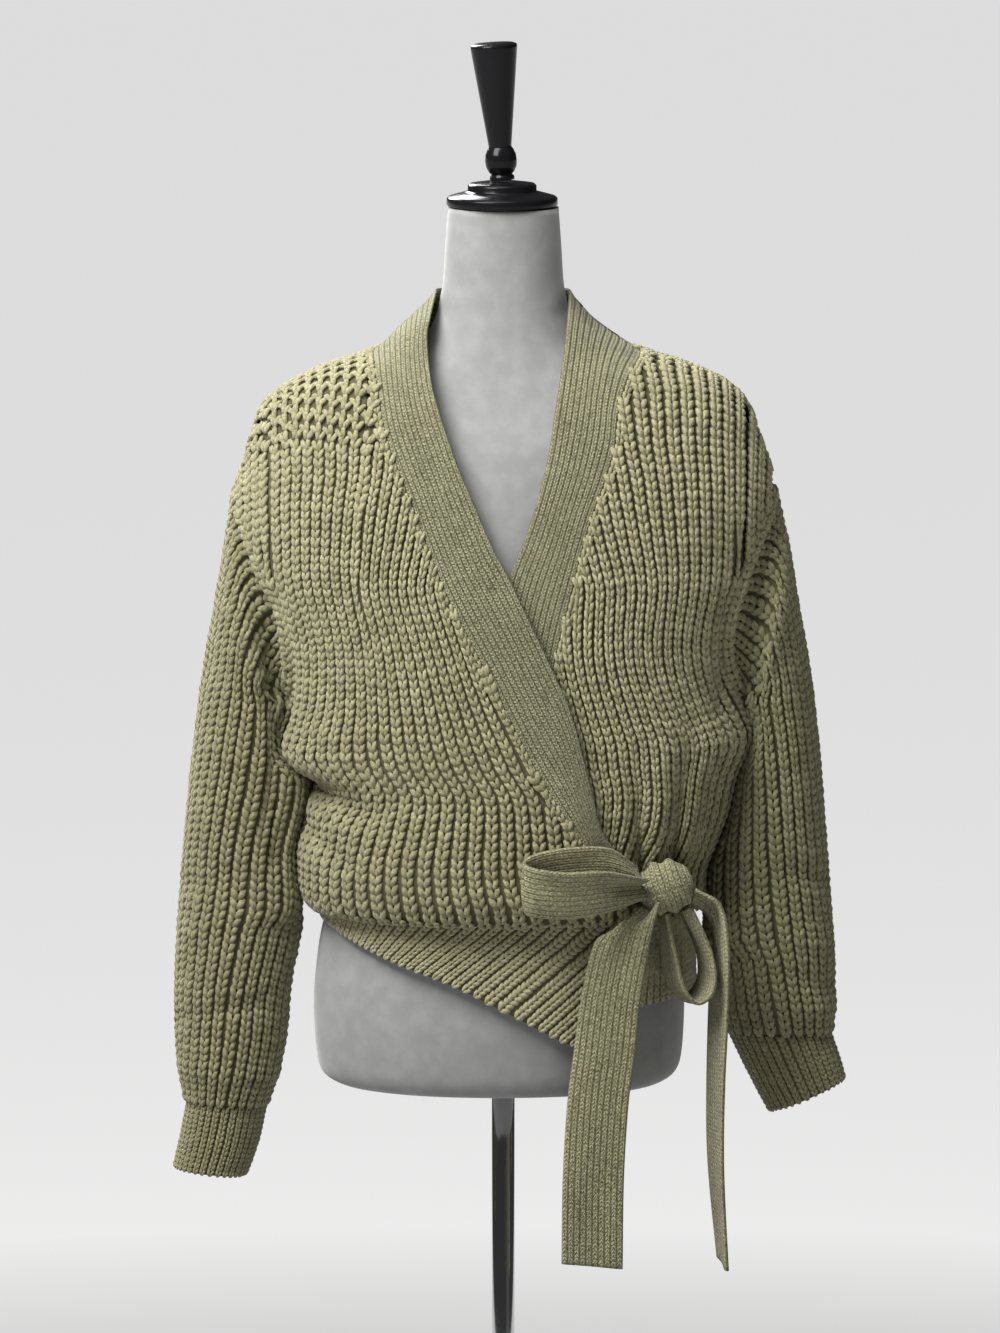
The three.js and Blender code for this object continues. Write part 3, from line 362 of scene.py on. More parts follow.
class Weave:
    """Lines of knit side by side: s runs across them, t from the cast-on end of each to its top"""

    def __init__(self, lines, out=1.0, closed=False, creases=()):
        steps = 181
        t = np.linspace(0, 1, steps)
        self.closed = closed
        self.out = out
        self.creases = creases
        self.length = np.zeros(len(lines))
        self.grid = np.zeros((len(lines), steps, 3))
        for k, line in enumerate(lines):
            arc = arc_of(line)
            self.length[k] = arc[-1]
            for axis in range(3):
                self.grid[k, :, axis] = np.interp(t, arc / arc[-1], line[:, axis])

    def index(self, s):
        count = len(self.grid)
        if self.closed:
            f = np.mod(s, 1.0) * count
            i = np.floor(f).astype(int) % count
            return i, (i + 1) % count, f - np.floor(f)
        f = np.clip(s, 0, 1) * (count - 1)
        i = np.minimum(count - 2, np.floor(f)).astype(int)
        return i, i + 1, f - i

    def size(self, s):
        i, n, f = self.index(np.asarray(s, float))
        return mix(self.length[i], self.length[n], f)

    def plain(self, s, t):
        s, t = np.broadcast_arrays(np.asarray(s, float), np.asarray(t, float))
        i, n, f = self.index(s)
        g = np.clip(t, 0, 1) * (self.grid.shape[1] - 1)
        j = np.minimum(self.grid.shape[1] - 2, np.floor(g)).astype(int)
        g = (g - j)[..., None]
        f = f[..., None]
        low = mix(self.grid[i, j], self.grid[n, j], f)
        high = mix(self.grid[i, j + 1], self.grid[n, j + 1], f)
        return mix(low, high, g)

    def normal(self, s, t):
        ds = 0.006
        dt = 0.006
        u = self.plain(s + ds, t) - self.plain(s - ds, t)
        v = self.plain(s, t + dt) - self.plain(s, t - dt)
        return unit(np.cross(u, v)) * self.out

    def at(self, s, t):
        p = self.plain(s, t)
        return creased(p, self.normal(s, t), self.creases) if self.creases else p

    def sheet(self, s, t, columns, row):
        """Points, normals and UVs, counted in stitches, of a grid: s across it, t along it"""
        s = s[None, :]
        t = t[:, None]
        length = float(np.mean(self.length))
        uvs = np.stack(np.broadcast_arrays(s * columns, t * length / row), -1)
        return self.at(s, t), self.normal(s + 0 * t, t + 0 * s), uvs


# ---- the pieces' lines ----
def even_across(key, turn, s):
    """Across value of evenly spaced places round a section, from the side (s 0) to an angle (s 1)"""
    angle = np.linspace(0, turn, 900)
    a = -power(np.cos(angle), 2 / ROUND)
    y = np.maximum(0, 1 - np.abs(a) ** ROUND) ** (1 / ROUND) * BODY.at("front", 3)
    arc = np.concatenate([[0], np.cumsum(np.hypot(np.diff(a * BODY.at(key, 3)), np.diff(y)))])
    return np.interp(s * arc[-1], arc, a)


def softened(a, s, width=11):
    """Smooths lines along their length, all but the edge ones and the ends"""
    pad = np.pad(a, ((0, 0), (width, width)), mode="edge")
    core = np.hanning(2 * width + 3)[1:-1]
    core = core / core.sum()
    soft = np.stack([np.convolve(row, core, mode="valid") for row in pad])
    t = np.linspace(0, 1, a.shape[1])[None, :]
    hold = np.clip(s * 30, 0, 1) * smooth(t / 0.12) * smooth((1 - t) / 0.2)
    return mix(a, soft, hold)


def with_roll(low_a, a, r):
    """Puts the rolled lower edge, rows 0 to 3 of the body's table, before a panel's lines"""
    roll = np.linspace(0, 3, 14)[None, :-1]
    a = np.concatenate([np.repeat(low_a, roll.size, axis=1), a], axis=1)
    return a, np.concatenate([np.repeat(roll, len(low_a), axis=0), r], axis=1)


def front_weave(side, seam, turn, bend, pitch, spread, inset, drawn=0.0, count=241):
    """A front: turn is where it ends below, pitch and spread(x) how its ribs stand at the chest and above"""
    s = np.linspace(0, 1, count)[:, None]
    key = KEYS[side]
    low_z = float(BODY.at("z", 3))
    low_a = even_across(key, turn, s)
    low_a = mix(low_a, -0.8, drawn * smooth(s / 0.2))
    mid_a = -1 + pitch * s
    chest_x = mid_a * armhole(CHEST) * BODY.at(key, BODY.row("z", CHEST, 4))

    def path(z):
        t = np.clip((z - low_z) / (CHEST - low_z), 0, 1)
        below = mix(low_a, mid_a, 1 - (1 - t) ** bend) * armhole(z)
        x = chest_x + spread(chest_x) * (z - CHEST) / (NECK_Z - CHEST)
        above = mix(-armhole(z), x / BODY.at(key, BODY.row("z", z, 4)), np.clip(s * 50, 0, 1))
        return np.where(z <= CHEST, below, above)

    low = np.full((count, 1), low_z)
    high = np.full((count, 1), NECK_Z)
    for _ in range(30):
        z = (low + high) / 2
        a = path(z)
        x = body(-side * a, BODY.row("z", z, 4))[..., 0]
        line = seam.reach("z", np.clip(z, seam.rows[-1, 1], seam.rows[0, 1]), "x")
        past = x > line - 1 if side < 0 else x < line + 1
        over = np.where(s > 0.01, past | ((a < -1) & (z > CHEST)), z > mix(TIP_Z, 1290, s * 100))
        high = np.where(over, z, high)
        low = np.where(over, low, z)
    top = (low + high) / 2
    ridge = smooth((-path(top) - 0.86) / 0.1)
    t = np.linspace(0, 1, 140)[None, :]
    z = mix(low_z, top, mix(t, 1 - (1 - t) ** 2.3, ridge))
    a, r = with_roll(path(low_z + 0 * top), softened(path(z), s), BODY.row("z", z, 3))
    a = -side * np.maximum(-1, a)
    p = body(a, r, False, inset(body(a, r)))
    p[np.abs(a) > 0.9995, 1] = -SEAM / 2
    return Weave(p, out=-side, creases=CREASES["body"])


def back_weave(count=241):
    """The back: ribs from the hem up to the shoulder seams and the neck"""
    s = np.linspace(-1, 1, count)[:, None]
    low_z = float(BODY.at("z", 3))
    low_a = np.sign(s) * np.abs(even_across("left", np.pi / 2, 1 - np.abs(s)))

    def side_of(r):
        return np.where(s < 0, BODY.at("left", r), BODY.at("right", r))

    neck_x = side_of(BODY.row("z", NECK_Z, 4))
    tip_x = side_of(BODY.row("z", TIP_Z, 4))
    out = np.clip((np.abs(s) - 0.42) / 0.58, 0, 1)
    top_x = np.where(np.abs(s) > 0.42, mix(neck_x, tip_x, out), neck_x * np.abs(s) / 0.42)
    ridge_z = np.where(s < 0, *[BODY.at("z", BODY.row(key, top_x, 14)) for key in ("left", "right")])
    top_z = np.where(np.abs(s) > 0.42, ridge_z, 1390 + 6 * (np.abs(s) / 0.42) ** 2)
    chest_x = s * armhole(CHEST) * side_of(BODY.row("z", CHEST, 4))
    t = np.linspace(0, 1, 140)[None, :]
    z = mix(low_z, top_z, mix(t, 1 - (1 - t) ** 2.3, smooth((np.abs(s) - 0.36) / 0.12)))
    r = BODY.row("z", z, 3)
    x = mix(chest_x, np.sign(s) * top_x, (z - CHEST) / (top_z - CHEST))
    above = x / side_of(r)
    above = mix(above, np.sign(s) * armhole(z), np.clip((np.abs(s) - 0.97) / 0.03, 0, 1))
    below = mix(low_a, s, np.clip((z - low_z) / (CHEST - low_z), 0, 1)) * armhole(z)
    a = softened(np.where(z <= CHEST, below, above), 1 - np.abs(s))
    a, r = with_roll(low_a, a, r)
    a = np.clip(a, -1, 1)
    p = body(a, r, True)
    p[np.abs(a) > 0.9995, 1] = SEAM / 2
    return Weave(p, out=-1.0, creases=CREASES["body"])


def cap_weave(side, back):
    """The part of a panel beyond its first rib: it runs from the armhole's edge up to the shoulder"""
    key = KEYS[side]
    reach = float(armhole(CHEST) * BODY.at(key, BODY.row("z", CHEST, 4)))
    lines = []
    for wide in np.linspace(1.5, 25, 30):
        z = np.linspace(CHEST - 30, 1352, 900)
        x = reach + wide + 6 * (z - CHEST) / (NECK_Z - CHEST)
        full = BODY.at(key, BODY.row("z", z, 4))
        edge = armhole(z) * full
        inside = (x < np.where(z > TIP_Z, full, edge) - 0.5) & (z > 1150)
        if inside.sum() < 12:
            continue
        z = z[inside]
        top = z[-1]
        z = top - (top - z[0]) * np.linspace(1, 0, 80) ** 2.0
        x = reach + wide + 6 * (z - CHEST) / (NECK_Z - CHEST)
        a = np.clip(x / BODY.at(key, BODY.row("z", z, 4)), 0, 1) * side
        lines.append(body(a, BODY.row("z", z, 4), back))
    return Weave(np.array(lines), out=(1.0 if side > 0 else -1.0) * (-1.0 if back else 1.0))


def chain(line, normals, step, size, lift=0.0, shade=0.45):
    """Stitches in a row along a line of points"""
    arc = arc_of(line)
    places = []
    for d in np.arange(step / 2, arc[-1], step):
        k = min(len(arc) - 2, int(np.searchsorted(arc, d)))
        up = unit(line[max(0, k - 3)] - line[min(len(arc) - 1, k + 3)])
        n = unit(normals[k] - up * float(normals[k] @ up))
        basis = Matrix((unit(np.cross(up, n)), up, n)).transposed()
        places.append((line[k] + n * lift, basis.to_euler(), size, shade))
    return places


def seam_places(seam, side, inset):
    """Short stitches along a band's seam, where the ribs end"""
    t = np.linspace(0.0, 0.985, 400) * seam.last
    x = seam.at("x", t) + side * 3.6
    r = BODY.row("z", seam.at("z", t), 4)
    a = across_at(x, r)
    line = body(a, r, False, inset(body(a, r)))
    more = body(np.clip(a + 0.02, -1, 1), r, False, inset(body(a, r)))
    along = np.gradient(line, axis=0)
    normals = unit(np.cross(more - line, along))
    normals = normals * -np.sign(normals[:, 1:2])
    return chain(line, normals, 7.2, (8.5, 7.2, 7.5), -0.4, 0.4)


def ridge_places(side):
    """Stitches along a shoulder's seam"""
    x = np.linspace(119, 244, 200)
    z = BODY.at("z", BODY.row(KEYS[side], x, 14))
    line = stack(side * x, 0, z)
    along = np.gradient(line, axis=0)
    normals = unit(stack(-side * along[:, 2], 0, side * along[:, 0]))
    return chain(line, normals, 8.2, (13, 8.2, 9), 0.2)


def band_weave(seam, edge, side, inset):
    """s runs from the seam to the free edge, t from the knot up to the neck"""
    t = np.linspace(1, 0, 160)[None, :]
    f = np.linspace(0, 1, 25)[:, None]
    x = mix(seam.at("x", t * seam.last), edge.at("x", t * edge.last), f)
    z = mix(seam.at("z", t * seam.last), edge.at("z", t * edge.last), f)
    r = BODY.row("z", z, 4)
    a = across_at(x, r)
    p = body(a, r, False, inset(body(a, r)))
    p[:, -1, 1] = -SEAM / 2
    return Weave(p, out=-side)


def neck_weave():
    """s runs up the band, t round the back of the neck"""
    s = np.linspace(-1, 1, 90)[None, :]
    f = np.linspace(0, 1, 25)[:, None]
    a = power(np.sin(s * np.pi / 2), 2 / ROUND)
    z = mix(1391.7 + 5.8 * a * a, mix(1446, 1452.4, np.abs(s)), f)
    p = body(np.clip(a, -1, 1) + 0 * z, BODY.row("z", z, 4), True)
    return Weave(p, out=1.0)


def sleeve_weave(table, side, panels, creases=()):
    """s runs round the tube, t from the cuff up to the armhole; the ribs twist inwards as they rise"""
    r = np.linspace(table.last, 0, 150)[None, :]
    turn = np.linspace(0, 2 * np.pi, 120, endpoint=False)[:, None]
    turn = turn + (TWIST if panels else 0) * (1 - r / table.last)
    mid = stack((table.at("outX", r) + table.at("inX", r)) / 2, table.at("midY", r),
                (table.at("outZ", r) + table.at("inZ", r)) / 2)
    out = stack((table.at("outX", r) - table.at("inX", r)) / 2, 0,
                (table.at("outZ", r) - table.at("inZ", r)) / 2)
    p = mid + out * power(np.cos(turn), 0.9)[..., None]
    p[..., 1] -= table.at("deep", r) * power(np.sin(turn), 0.9)
    rest = smooth((p[..., 2] - REST_LOW[side]) / 25) * smooth((REST_TOP - p[..., 2]) / 20)
    gap = np.clip(side * (p[..., 0] - side_x(side, p[..., 1], p[..., 2])) - SLEEVE_GAP, -14, 26)
    p[..., 0] -= side * gap * rest * ((1 - np.cos(turn)) / 2) ** 3
    if panels:
        top = turn[:, -1]
        fold = 1 - np.arccos(np.cos(top)) / np.pi
        z = mix(1072, 1267.5, mix((1 + np.cos(top)) / 2, fold, 0.85))
        ring = np.zeros((len(top), 3))
        for k, q in enumerate(np.sin(top)):
            line = panels[1 if q < 0 else 0]
            ring[k] = [np.interp(z[k], line[:, 2], line[:, axis]) for axis in range(3)]
        ring[:, 0] += side * (2 + 1.5 * np.sin(top / 2) ** 2)
        p = mix(p, ring[:, None, :], (1 - smooth(r))[..., None] * np.where(r < 1, 1, 0)[..., None])
    return Weave(p, out=-side, closed=True, creases=creases)


def panel_edge(weave, s):
    """An armhole's edge on a panel, from the underarm up"""
    line = weave.plain(s, np.linspace(0.1, 1, 160))
    return line[np.argsort(line[:, 2])]


def hem_point(turn, z, inside=0.0):
    """Point of the hem at an angle, from the wearer's right over the front, and a height"""
    r = HEM.row("z", z)
    left = HEM.at("left", r)
    right = HEM.at("right", r)
    c = np.cos(turn)
    q = np.sin(turn)
    half = (left + right) / 2 - inside
    deep = np.where(q > 0, HEM.at("front", r), HEM.at("back", r)) - inside
    x = (right - left) / 2 - half * power(c, 2 / ROUND)
    return stack(x, -deep * power(q, 2 / ROUND), z)


def hem_turn(x):
    """The angle at which the hem's front passes x"""
    turn = np.linspace(0, np.pi, 1500)
    return np.interp(x, hem_point(turn, 830.0 + 0 * turn)[:, 0], turn)


# Heights of the hem's lower edge: on the right front, the left front and the back
def over_low(x):
    return HEM_OVER.reach("x", np.clip(x, -172, HEM_OVER_END), "z")


def under_low(x):
    rest = mix(HEM_RIGHT_Z, 800, smooth((170 - x) / 100))
    return np.maximum(rest, over_low(x) + 10 - np.maximum(0, x - 66))


def back_low(x):
    return mix(HEM_LEFT_Z, HEM_RIGHT_Z, smooth((x + 170) / 340))


def hem_weave(x_from, x_to, low, lean, inset, front=True, count=121):
    """Ribs that lean by the slope lean(x): each runs from the lower edge up to the overhang"""
    gap = SEAM / 340
    start = max(gap, float(hem_turn(x_from)))
    end = min(np.pi - gap, float(hem_turn(x_to)))
    lines = []
    for turn in np.linspace(start, end, count):
        x_low = float(hem_point(turn, 830.0)[0])
        z = np.linspace(float(low(x_low)), HEM_TOP, 24)
        x = x_low + lean(x_low) * (z - z[0])
        angle = np.clip(turn + (hem_turn(x) - hem_turn(x_low)), gap, np.pi - gap)
        angle = angle if front else -angle
        lines.append(hem_point(angle, z, inset(x)))
    return Weave(np.array(lines), out=1.0 if front else -1.0)


def strip_weave(table):
    """s runs across the strip, t along it"""
    t = np.linspace(0, table.last, 160)[None, :]
    f = np.linspace(-1, 1, 21)[:, None]
    mid = [table.at(k, t) for k in "xyz"]
    half = [table.at("w" + k, t) for k in "xyz"]
    return Weave(stack(*[m + h * f for m, h in zip(mid, half)]))


# ---- node trees ----
class Nodes:
    """Short hand for building one node tree"""

    def __init__(self, tree):
        self.tree = tree

    def add(self, kind, **sets):
        node = self.tree.nodes.new(kind)
        for key, value in sets.items():
            setattr(node, key, value)
        return node

    def fill(self, node, **values):
        """Links sockets and sets plain values on a node's named inputs"""
        for name, value in values.items():
            self.put(value, node.inputs[name])
        return node

    def put(self, value, socket):
        if isinstance(value, bpy.types.NodeSocket):
            self.tree.links.new(value, socket)
        else:
            socket.default_value = value

    def math(self, op, a, b=0.0, clamp=False):
        node = self.add("ShaderNodeMath", operation=op, use_clamp=clamp)
        self.put(a, node.inputs[0])
        self.put(b, node.inputs[1])
        return node.outputs[0]

    def scaled_sum(self, a, factor, b):
        node = self.add("ShaderNodeMath", operation="MULTIPLY_ADD")
        for k, value in enumerate((a, factor, b)):
            self.put(value, node.inputs[k])
        return node.outputs[0]

    def place(self):
        return self.add("ShaderNodeTexCoord").outputs["Object"]

    def noise(self, vector, scale, detail=2.0):
        node = self.fill(self.add("ShaderNodeTexNoise"), Scale=scale, Detail=detail, Vector=vector)
        return node.outputs["Fac"]

    def blend(self, factor, a, b, mode="MIX"):
        node = self.add("ShaderNodeMix", data_type="RGBA", blend_type=mode)
        for k, value in ((0, factor), (6, a), (7, b)):
            self.put(value, node.inputs[k])
        return node.outputs[2]

    def bump(self, height, strength, distance, shader):
        node = self.fill(self.add("ShaderNodeBump"), Strength=strength, Distance=distance, Height=height)
        self.put(node.outputs[0], shader.inputs["Normal"])


def node_group(name, kind, ins, outs):
    """A new group with its sockets, each a name and a kind: its nodes, what goes in and what comes out"""
    tree = bpy.data.node_groups.new(name, kind)
    for way, pairs in (("INPUT", ins), ("OUTPUT", outs)):
        for title, sort in pairs:
            tree.interface.new_socket(title, in_out=way, socket_type="NodeSocket" + sort)
    n = Nodes(tree)
    return n, n.add("NodeGroupInput").outputs, n.add("NodeGroupOutput").inputs


def new_material(name, settings):
    """A material, its nodes and its shader, with the given values on the shader's sockets"""
    mat = bpy.data.materials.new(name)
    mat.use_nodes = True
    shader = mat.node_tree.nodes["Principled BSDF"]
    for key, value in settings.items():
        shader.inputs[key].default_value = value
    return mat, Nodes(mat.node_tree), shader


# ---- meshes ----
def smooth_outward(mesh):
    """Turns a closed mesh's normals outward and shades it smooth"""
    shape = bmesh.new()
    shape.from_mesh(mesh)
    bmesh.ops.recalc_face_normals(shape, faces=shape.faces)
    shape.to_mesh(mesh)
    shape.free()
    mesh.shade_smooth()
    return mesh


def add_piece(name, points, faces, material, uvs=None):
    """A smooth mesh in metres with its normals outward, on the one body of the part"""
    mesh = bpy.data.meshes.new(name)
    mesh.from_pydata((np.asarray(points) * MM).tolist(), [], faces)
    if uvs is not None:
        layer = mesh.uv_layers.new(name="knit")
        loops = np.zeros(len(mesh.loops), dtype=np.int32)
        mesh.loops.foreach_get("vertex_index", loops)
        layer.data.foreach_set("uv", np.asarray(uvs, float)[loops].ravel())
    smooth_outward(mesh)
    mesh.materials.append(material)
    obj = bpy.data.objects.new(name, mesh)
    bpy.context.scene.collection.objects.link(obj)
    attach(obj, "root")
    return obj


def quads(rows, cols, closed=True):
    """Faces of a grid, whose columns may close on themselves, with the vertices they run between"""
    at = np.arange(rows * cols).reshape(rows, cols)
    here = at if closed else at[:, :-1]
    there = np.roll(at, -1, axis=1) if closed else at[:, 1:]
    return np.stack([here[:-1], there[:-1], there[1:], here[1:]], -1).reshape(-1, 4), here, there


def shell(name, points, normals, outer, inner, material, uvs, closed=False):
    """A closed wall of cloth between two offsets of a grid of points, rows by columns"""
    rows, cols = points.shape[:2]
    outer = np.broadcast_to(outer, (rows, cols))[..., None]
    inner = np.broadcast_to(inner, (rows, cols))[..., None]
    verts = np.concatenate([points + normals * outer, points - normals * inner]).reshape(-1, 3)
    n = rows * cols
    at = np.arange(n).reshape(rows, cols)
    face, here, there = quads(rows, cols, closed)
    faces = face.tolist() + (face[:, ::-1] + n).tolist()
    for r in (0, rows - 1):
        rim = np.stack([here[r], there[r], there[r] + n, here[r] + n], -1)
        faces += rim.tolist()
    if not closed:
        for c in (0, cols - 1):
            rim = np.stack([at[:-1, c], at[1:, c], at[1:, c] + n, at[:-1, c] + n], -1)
            faces += rim.tolist()
    return add_piece(name, verts, faces, material, np.concatenate([uvs.reshape(-1, 2)] * 2))


def leg_mesh(sides=4):
    """One plump stitch in a unit cell: two legs that meet at the bottom like a V"""
    verts = []
    faces = []
    spine = ((0.06, -0.80, -0.02, 0.0), (0.11, -0.55, 0.09, 0.16), (0.21, -0.02, 0.15, 0.235),
             (0.29, 0.52, 0.01, 0.18), (0.325, 0.78, -0.13, 0.0))
    for side in (-1, 1):
        rings = []
        for x, y, z, wide in spine:
            if wide == 0.0:
                rings.append([len(verts)])
                verts.append((side * x, y, z))
                continue
            ring = []
            for k in range(sides):
                turn = 2 * math.pi * (k + 0.5) / sides
                ring.append(len(verts))
                verts.append((side * x + math.cos(turn) * wide * 1.18, y, z + math.sin(turn) * wide * 1.3))
            rings.append(ring)
        for a, b in zip(rings, rings[1:]):
            for k in range(sides):
                n = (k + 1) % sides
                if len(a) == 1:
                    faces.append((a[0], b[n], b[k]))
                elif len(b) == 1:
                    faces.append((a[k], a[n], b[0]))
                else:
                    faces.append((a[k], a[n], b[n], b[k]))
    mesh = bpy.data.meshes.new("stitch")
    mesh.from_pydata(verts, [], faces)
    return smooth_outward(mesh)


def stitch_tree():
    """Geometry nodes: a stitch on each point, turned and sized by the point's own attributes"""
    n, given, result = node_group(
        "Stitches", "GeometryNodeTree",
        (("Points", "Geometry"), ("Stitch", "Object"), ("Yarn", "Material"), ("Wobble", "Float"),
         ("Seed", "Int")),
        (("Geometry", "Geometry"),))
    info = n.add("GeometryNodeObjectInfo", transform_space="ORIGINAL")
    info.inputs["As Instance"].default_value = True
    n.put(given["Stitch"], info.inputs["Object"])
    turn = n.fill(n.add("GeometryNodeInputNamedAttribute", data_type="FLOAT_VECTOR"), Name="turn")
    size = n.fill(n.add("GeometryNodeInputNamedAttribute", data_type="FLOAT_VECTOR"), Name="size")
    near = n.fill(n.add("FunctionNodeRandomValue", data_type="FLOAT"), Seed=given["Seed"])
    n.put(n.math("SUBTRACT", 1.0, given["Wobble"]), near.inputs[2])
    n.put(n.math("ADD", 1.0, given["Wobble"]), near.inputs[3])
    scale = n.fill(n.add("ShaderNodeVectorMath", operation="SCALE"), Scale=near.outputs[1])
    n.put(size.outputs["Attribute"], scale.inputs[0])
    euler = n.add("FunctionNodeEulerToRotation")
    n.put(turn.outputs["Attribute"], euler.inputs[0])
    made = n.fill(n.add("GeometryNodeInstanceOnPoints"), Points=given["Points"],
                  Instance=info.outputs["Geometry"], Rotation=euler.outputs[0], Scale=scale.outputs[0])
    real = n.add("GeometryNodeRealizeInstances")
    n.put(made.outputs[0], real.inputs[0])
    paint = n.fill(n.add("GeometryNodeSetMaterial"), Geometry=real.outputs[0], Material=given["Yarn"])
    n.put(paint.outputs[0], result["Geometry"])
    return n.tree


def shoulder_mesh(p):
    """Where the shoulders' open mesh lies, 0 to 1: less of it on the wearer's left"""
    high = np.where((p[:, 0] > 0) & (p[:, 1] < 0), 1376, 1308)
    return smooth((p[:, 2] - high + 0.12 * (np.abs(p[:, 0]) - 110)) / 34)


def stitch_points(weave, columns, row, lift, deep, fill=1.0, tone_and_shade=0.5, mesh=None):
    """Places for stitches on a weave: point, rotation, size and a shade of each. The shade is a random tone
    round a given mean, lowered for some pieces as painted shade, and on the body's pieces painted shade
    darkens it towards the bottom
    """
    places = []
    rng = np.random.default_rng(SHADE_SEED)
    for k in range(columns):
        s = (k + 0.5) / columns
        half = 0.5 / columns
        length = float(weave.size(s))
        tt = np.linspace(0, 1, 61)
        wide = np.linalg.norm(weave.plain(s + half, tt) - weave.plain(s - half, tt), axis=1)
        step = row * np.clip(0.5 + 0.5 * wide / (1.45 * row), 0.85, 1.08)
        passed = np.concatenate([[0], np.cumsum(length / 60 / ((step[1:] + step[:-1]) / 2))])
        count = max(1, int(passed[-1] + 0.6))
        t = np.interp((np.arange(count) + 0.5) * passed[-1] / count, passed, tt)
        tall = np.interp(t, tt, step)
        open_knit = mesh(weave.plain(s, t)) if mesh else np.zeros(count)
        turn = np.where(np.arange(count) % 2 == 0, 1.0, -1.0) * open_knit
        here = s + turn * half * 0.3
        p = weave.at(here, t)
        # Painted shade: on the body's pieces the stitches are made darker below about 1150 mm, standing in
        # for the lower front getting less light
        painted_low_shade = 0.4 * smooth((1150 - p[:, 2]) / 220) if mesh else 0.0
        n = weave.normal(here, t)
        up = unit(weave.at(s, t + 0.3 * row / length) - weave.at(s, t - 0.3 * row / length))
        wide = weave.at(s + half, t) - weave.at(s - half, t)
        wide = wide - up * np.sum(wide * up, axis=1, keepdims=True)
        wide = wide - n * np.sum(wide * n, axis=1, keepdims=True)
        width = np.linalg.norm(wide, axis=1)
        up = unit(up + 0.42 * turn[:, None] * unit(wide))
        across = unit(np.cross(up, n))
        n = unit(np.cross(across, up))
        shade = rng.normal(tone_and_shade, 0.1, count) - painted_low_shade
        for m in range(count):
            basis = Matrix((across[m], up[m], n[m])).transposed()
            size = (min(width[m], PLUMP if mesh else 20) * fill * (1 + 0.07 * open_knit[m]), tall[m], deep)
            places.append((p[m] + n[m] * lift, basis.to_euler(), size, shade[m]))
    return places


def stitch_piece(name, places):
    """Turns places into one plain mesh of stitches"""
    spots, turns, sizes, shades = zip(*places)
    mesh = bpy.data.meshes.new(name)
    mesh.from_pydata((np.array(spots) * MM).tolist(), [], [])
    for key, kind, field, values in (
            ("turn", "FLOAT_VECTOR", "vector", np.array([tuple(turn) for turn in turns])),
            ("size", "FLOAT_VECTOR", "vector", np.array(sizes, float) * MM),
            ("shade", "FLOAT", "value", np.array(shades, float))):
        mesh.attributes.new(key, kind, "POINT").data.foreach_set(field, values.ravel())
    maker = bpy.data.objects.new(name + "_places", mesh)
    bpy.context.scene.collection.objects.link(maker)
    tree = tools()["tree"]
    nodes = maker.modifiers.new("Stitches", "NODES")
    nodes.node_group = tree
    wanted = {"Stitch": tools()["stitch"], "Yarn": tools()["yarn"], "Wobble": WOBBLE, "Seed": WOBBLE_SEED}
    for item in tree.interface.items_tree:
        if item.in_out == "INPUT" and item.name in wanted:
            nodes[item.identifier] = wanted[item.name]
    maker.update_tag()
    bpy.context.view_layer.update()
    graph = bpy.context.evaluated_depsgraph_get()
    made = bpy.data.meshes.new_from_object(maker.evaluated_get(graph))
    made.name = name
    bpy.data.objects.remove(maker)
    made.shade_smooth()
    obj = bpy.data.objects.new(name, made)
    bpy.context.scene.collection.objects.link(obj)
    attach(obj, "root")
    return obj


def knit_piece(name, weave, ribs, row, ground, places):
    """A piece in rib: the thin shell of its ground, on its weave, and the stitches on it"""
    steps, outer, inner = ground
    lines = ribs * 2 + (0 if weave.closed else 1)
    s = np.arange(lines) / lines if weave.closed else np.linspace(0, 1, lines)
    points, normals, uvs = weave.sheet(s, np.linspace(0, 1, steps), ribs * 2, row)
    base = shell(name + "_cloth", points, normals, outer, inner, tools()["ground"], uvs, weave.closed)
    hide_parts(name)
    return base, stitch_piece(name + "_stitches", places)


def fine_cloth(node, weave, yarn, columns, row, steps, thick, roll, folds=None):
    """A fine-knit strip with rounded edges, which folds(s, t) bends in and out"""
    f = np.sin(np.linspace(-np.pi / 2, np.pi / 2, FINE_ACROSS))
    f = mix(f, np.linspace(-1, 1, FINE_ACROSS), 0.4)
    s = (f + 1) / 2
    t = np.linspace(0, 1, steps)
    p, n, uvs = weave.sheet(s, t, columns, row)
    if folds:
        p = p + n * folds(s[None, :], t[:, None])[..., None]
    puff = thick * (0.12 + 0.88 * np.sqrt(np.maximum(0, 1 - np.abs(f) ** 7)))[None, :]
    obj = shell(node + "_cloth", p, n, puff * roll, puff * (1 - roll), yarn, uvs)
    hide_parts(node)
    return obj


# ---- materials ----
def heather_group():
    """Heathered yarn: fine flecks and slow changes between two colours, out as Color and Relief"""
    n, given, result = node_group(
        "Heather", "ShaderNodeTree", (("Light", "Color"), ("Dark", "Color"), ("Shade", "Float")),
        (("Color", "Color"), ("Relief", "Float")))
    place = n.place()
    mixed = n.scaled_sum(n.noise(place, 480, 4.0), 2.6, -0.8)
    mixed = n.scaled_sum(n.noise(place, 34), 0.5, mixed)
    # Shade moves each stitch between the two colours: its random tone, plus the painted shade of the sleeves,
    # cuffs and lower body
    mixed = n.math("SUBTRACT", n.scaled_sum(given["Shade"], 0.9, mixed), 0.7, clamp=True)
    n.put(n.blend(mixed, given["Dark"], given["Light"]), result["Color"])
    n.put(n.noise(place, 1500), result["Relief"])
    return n.tree


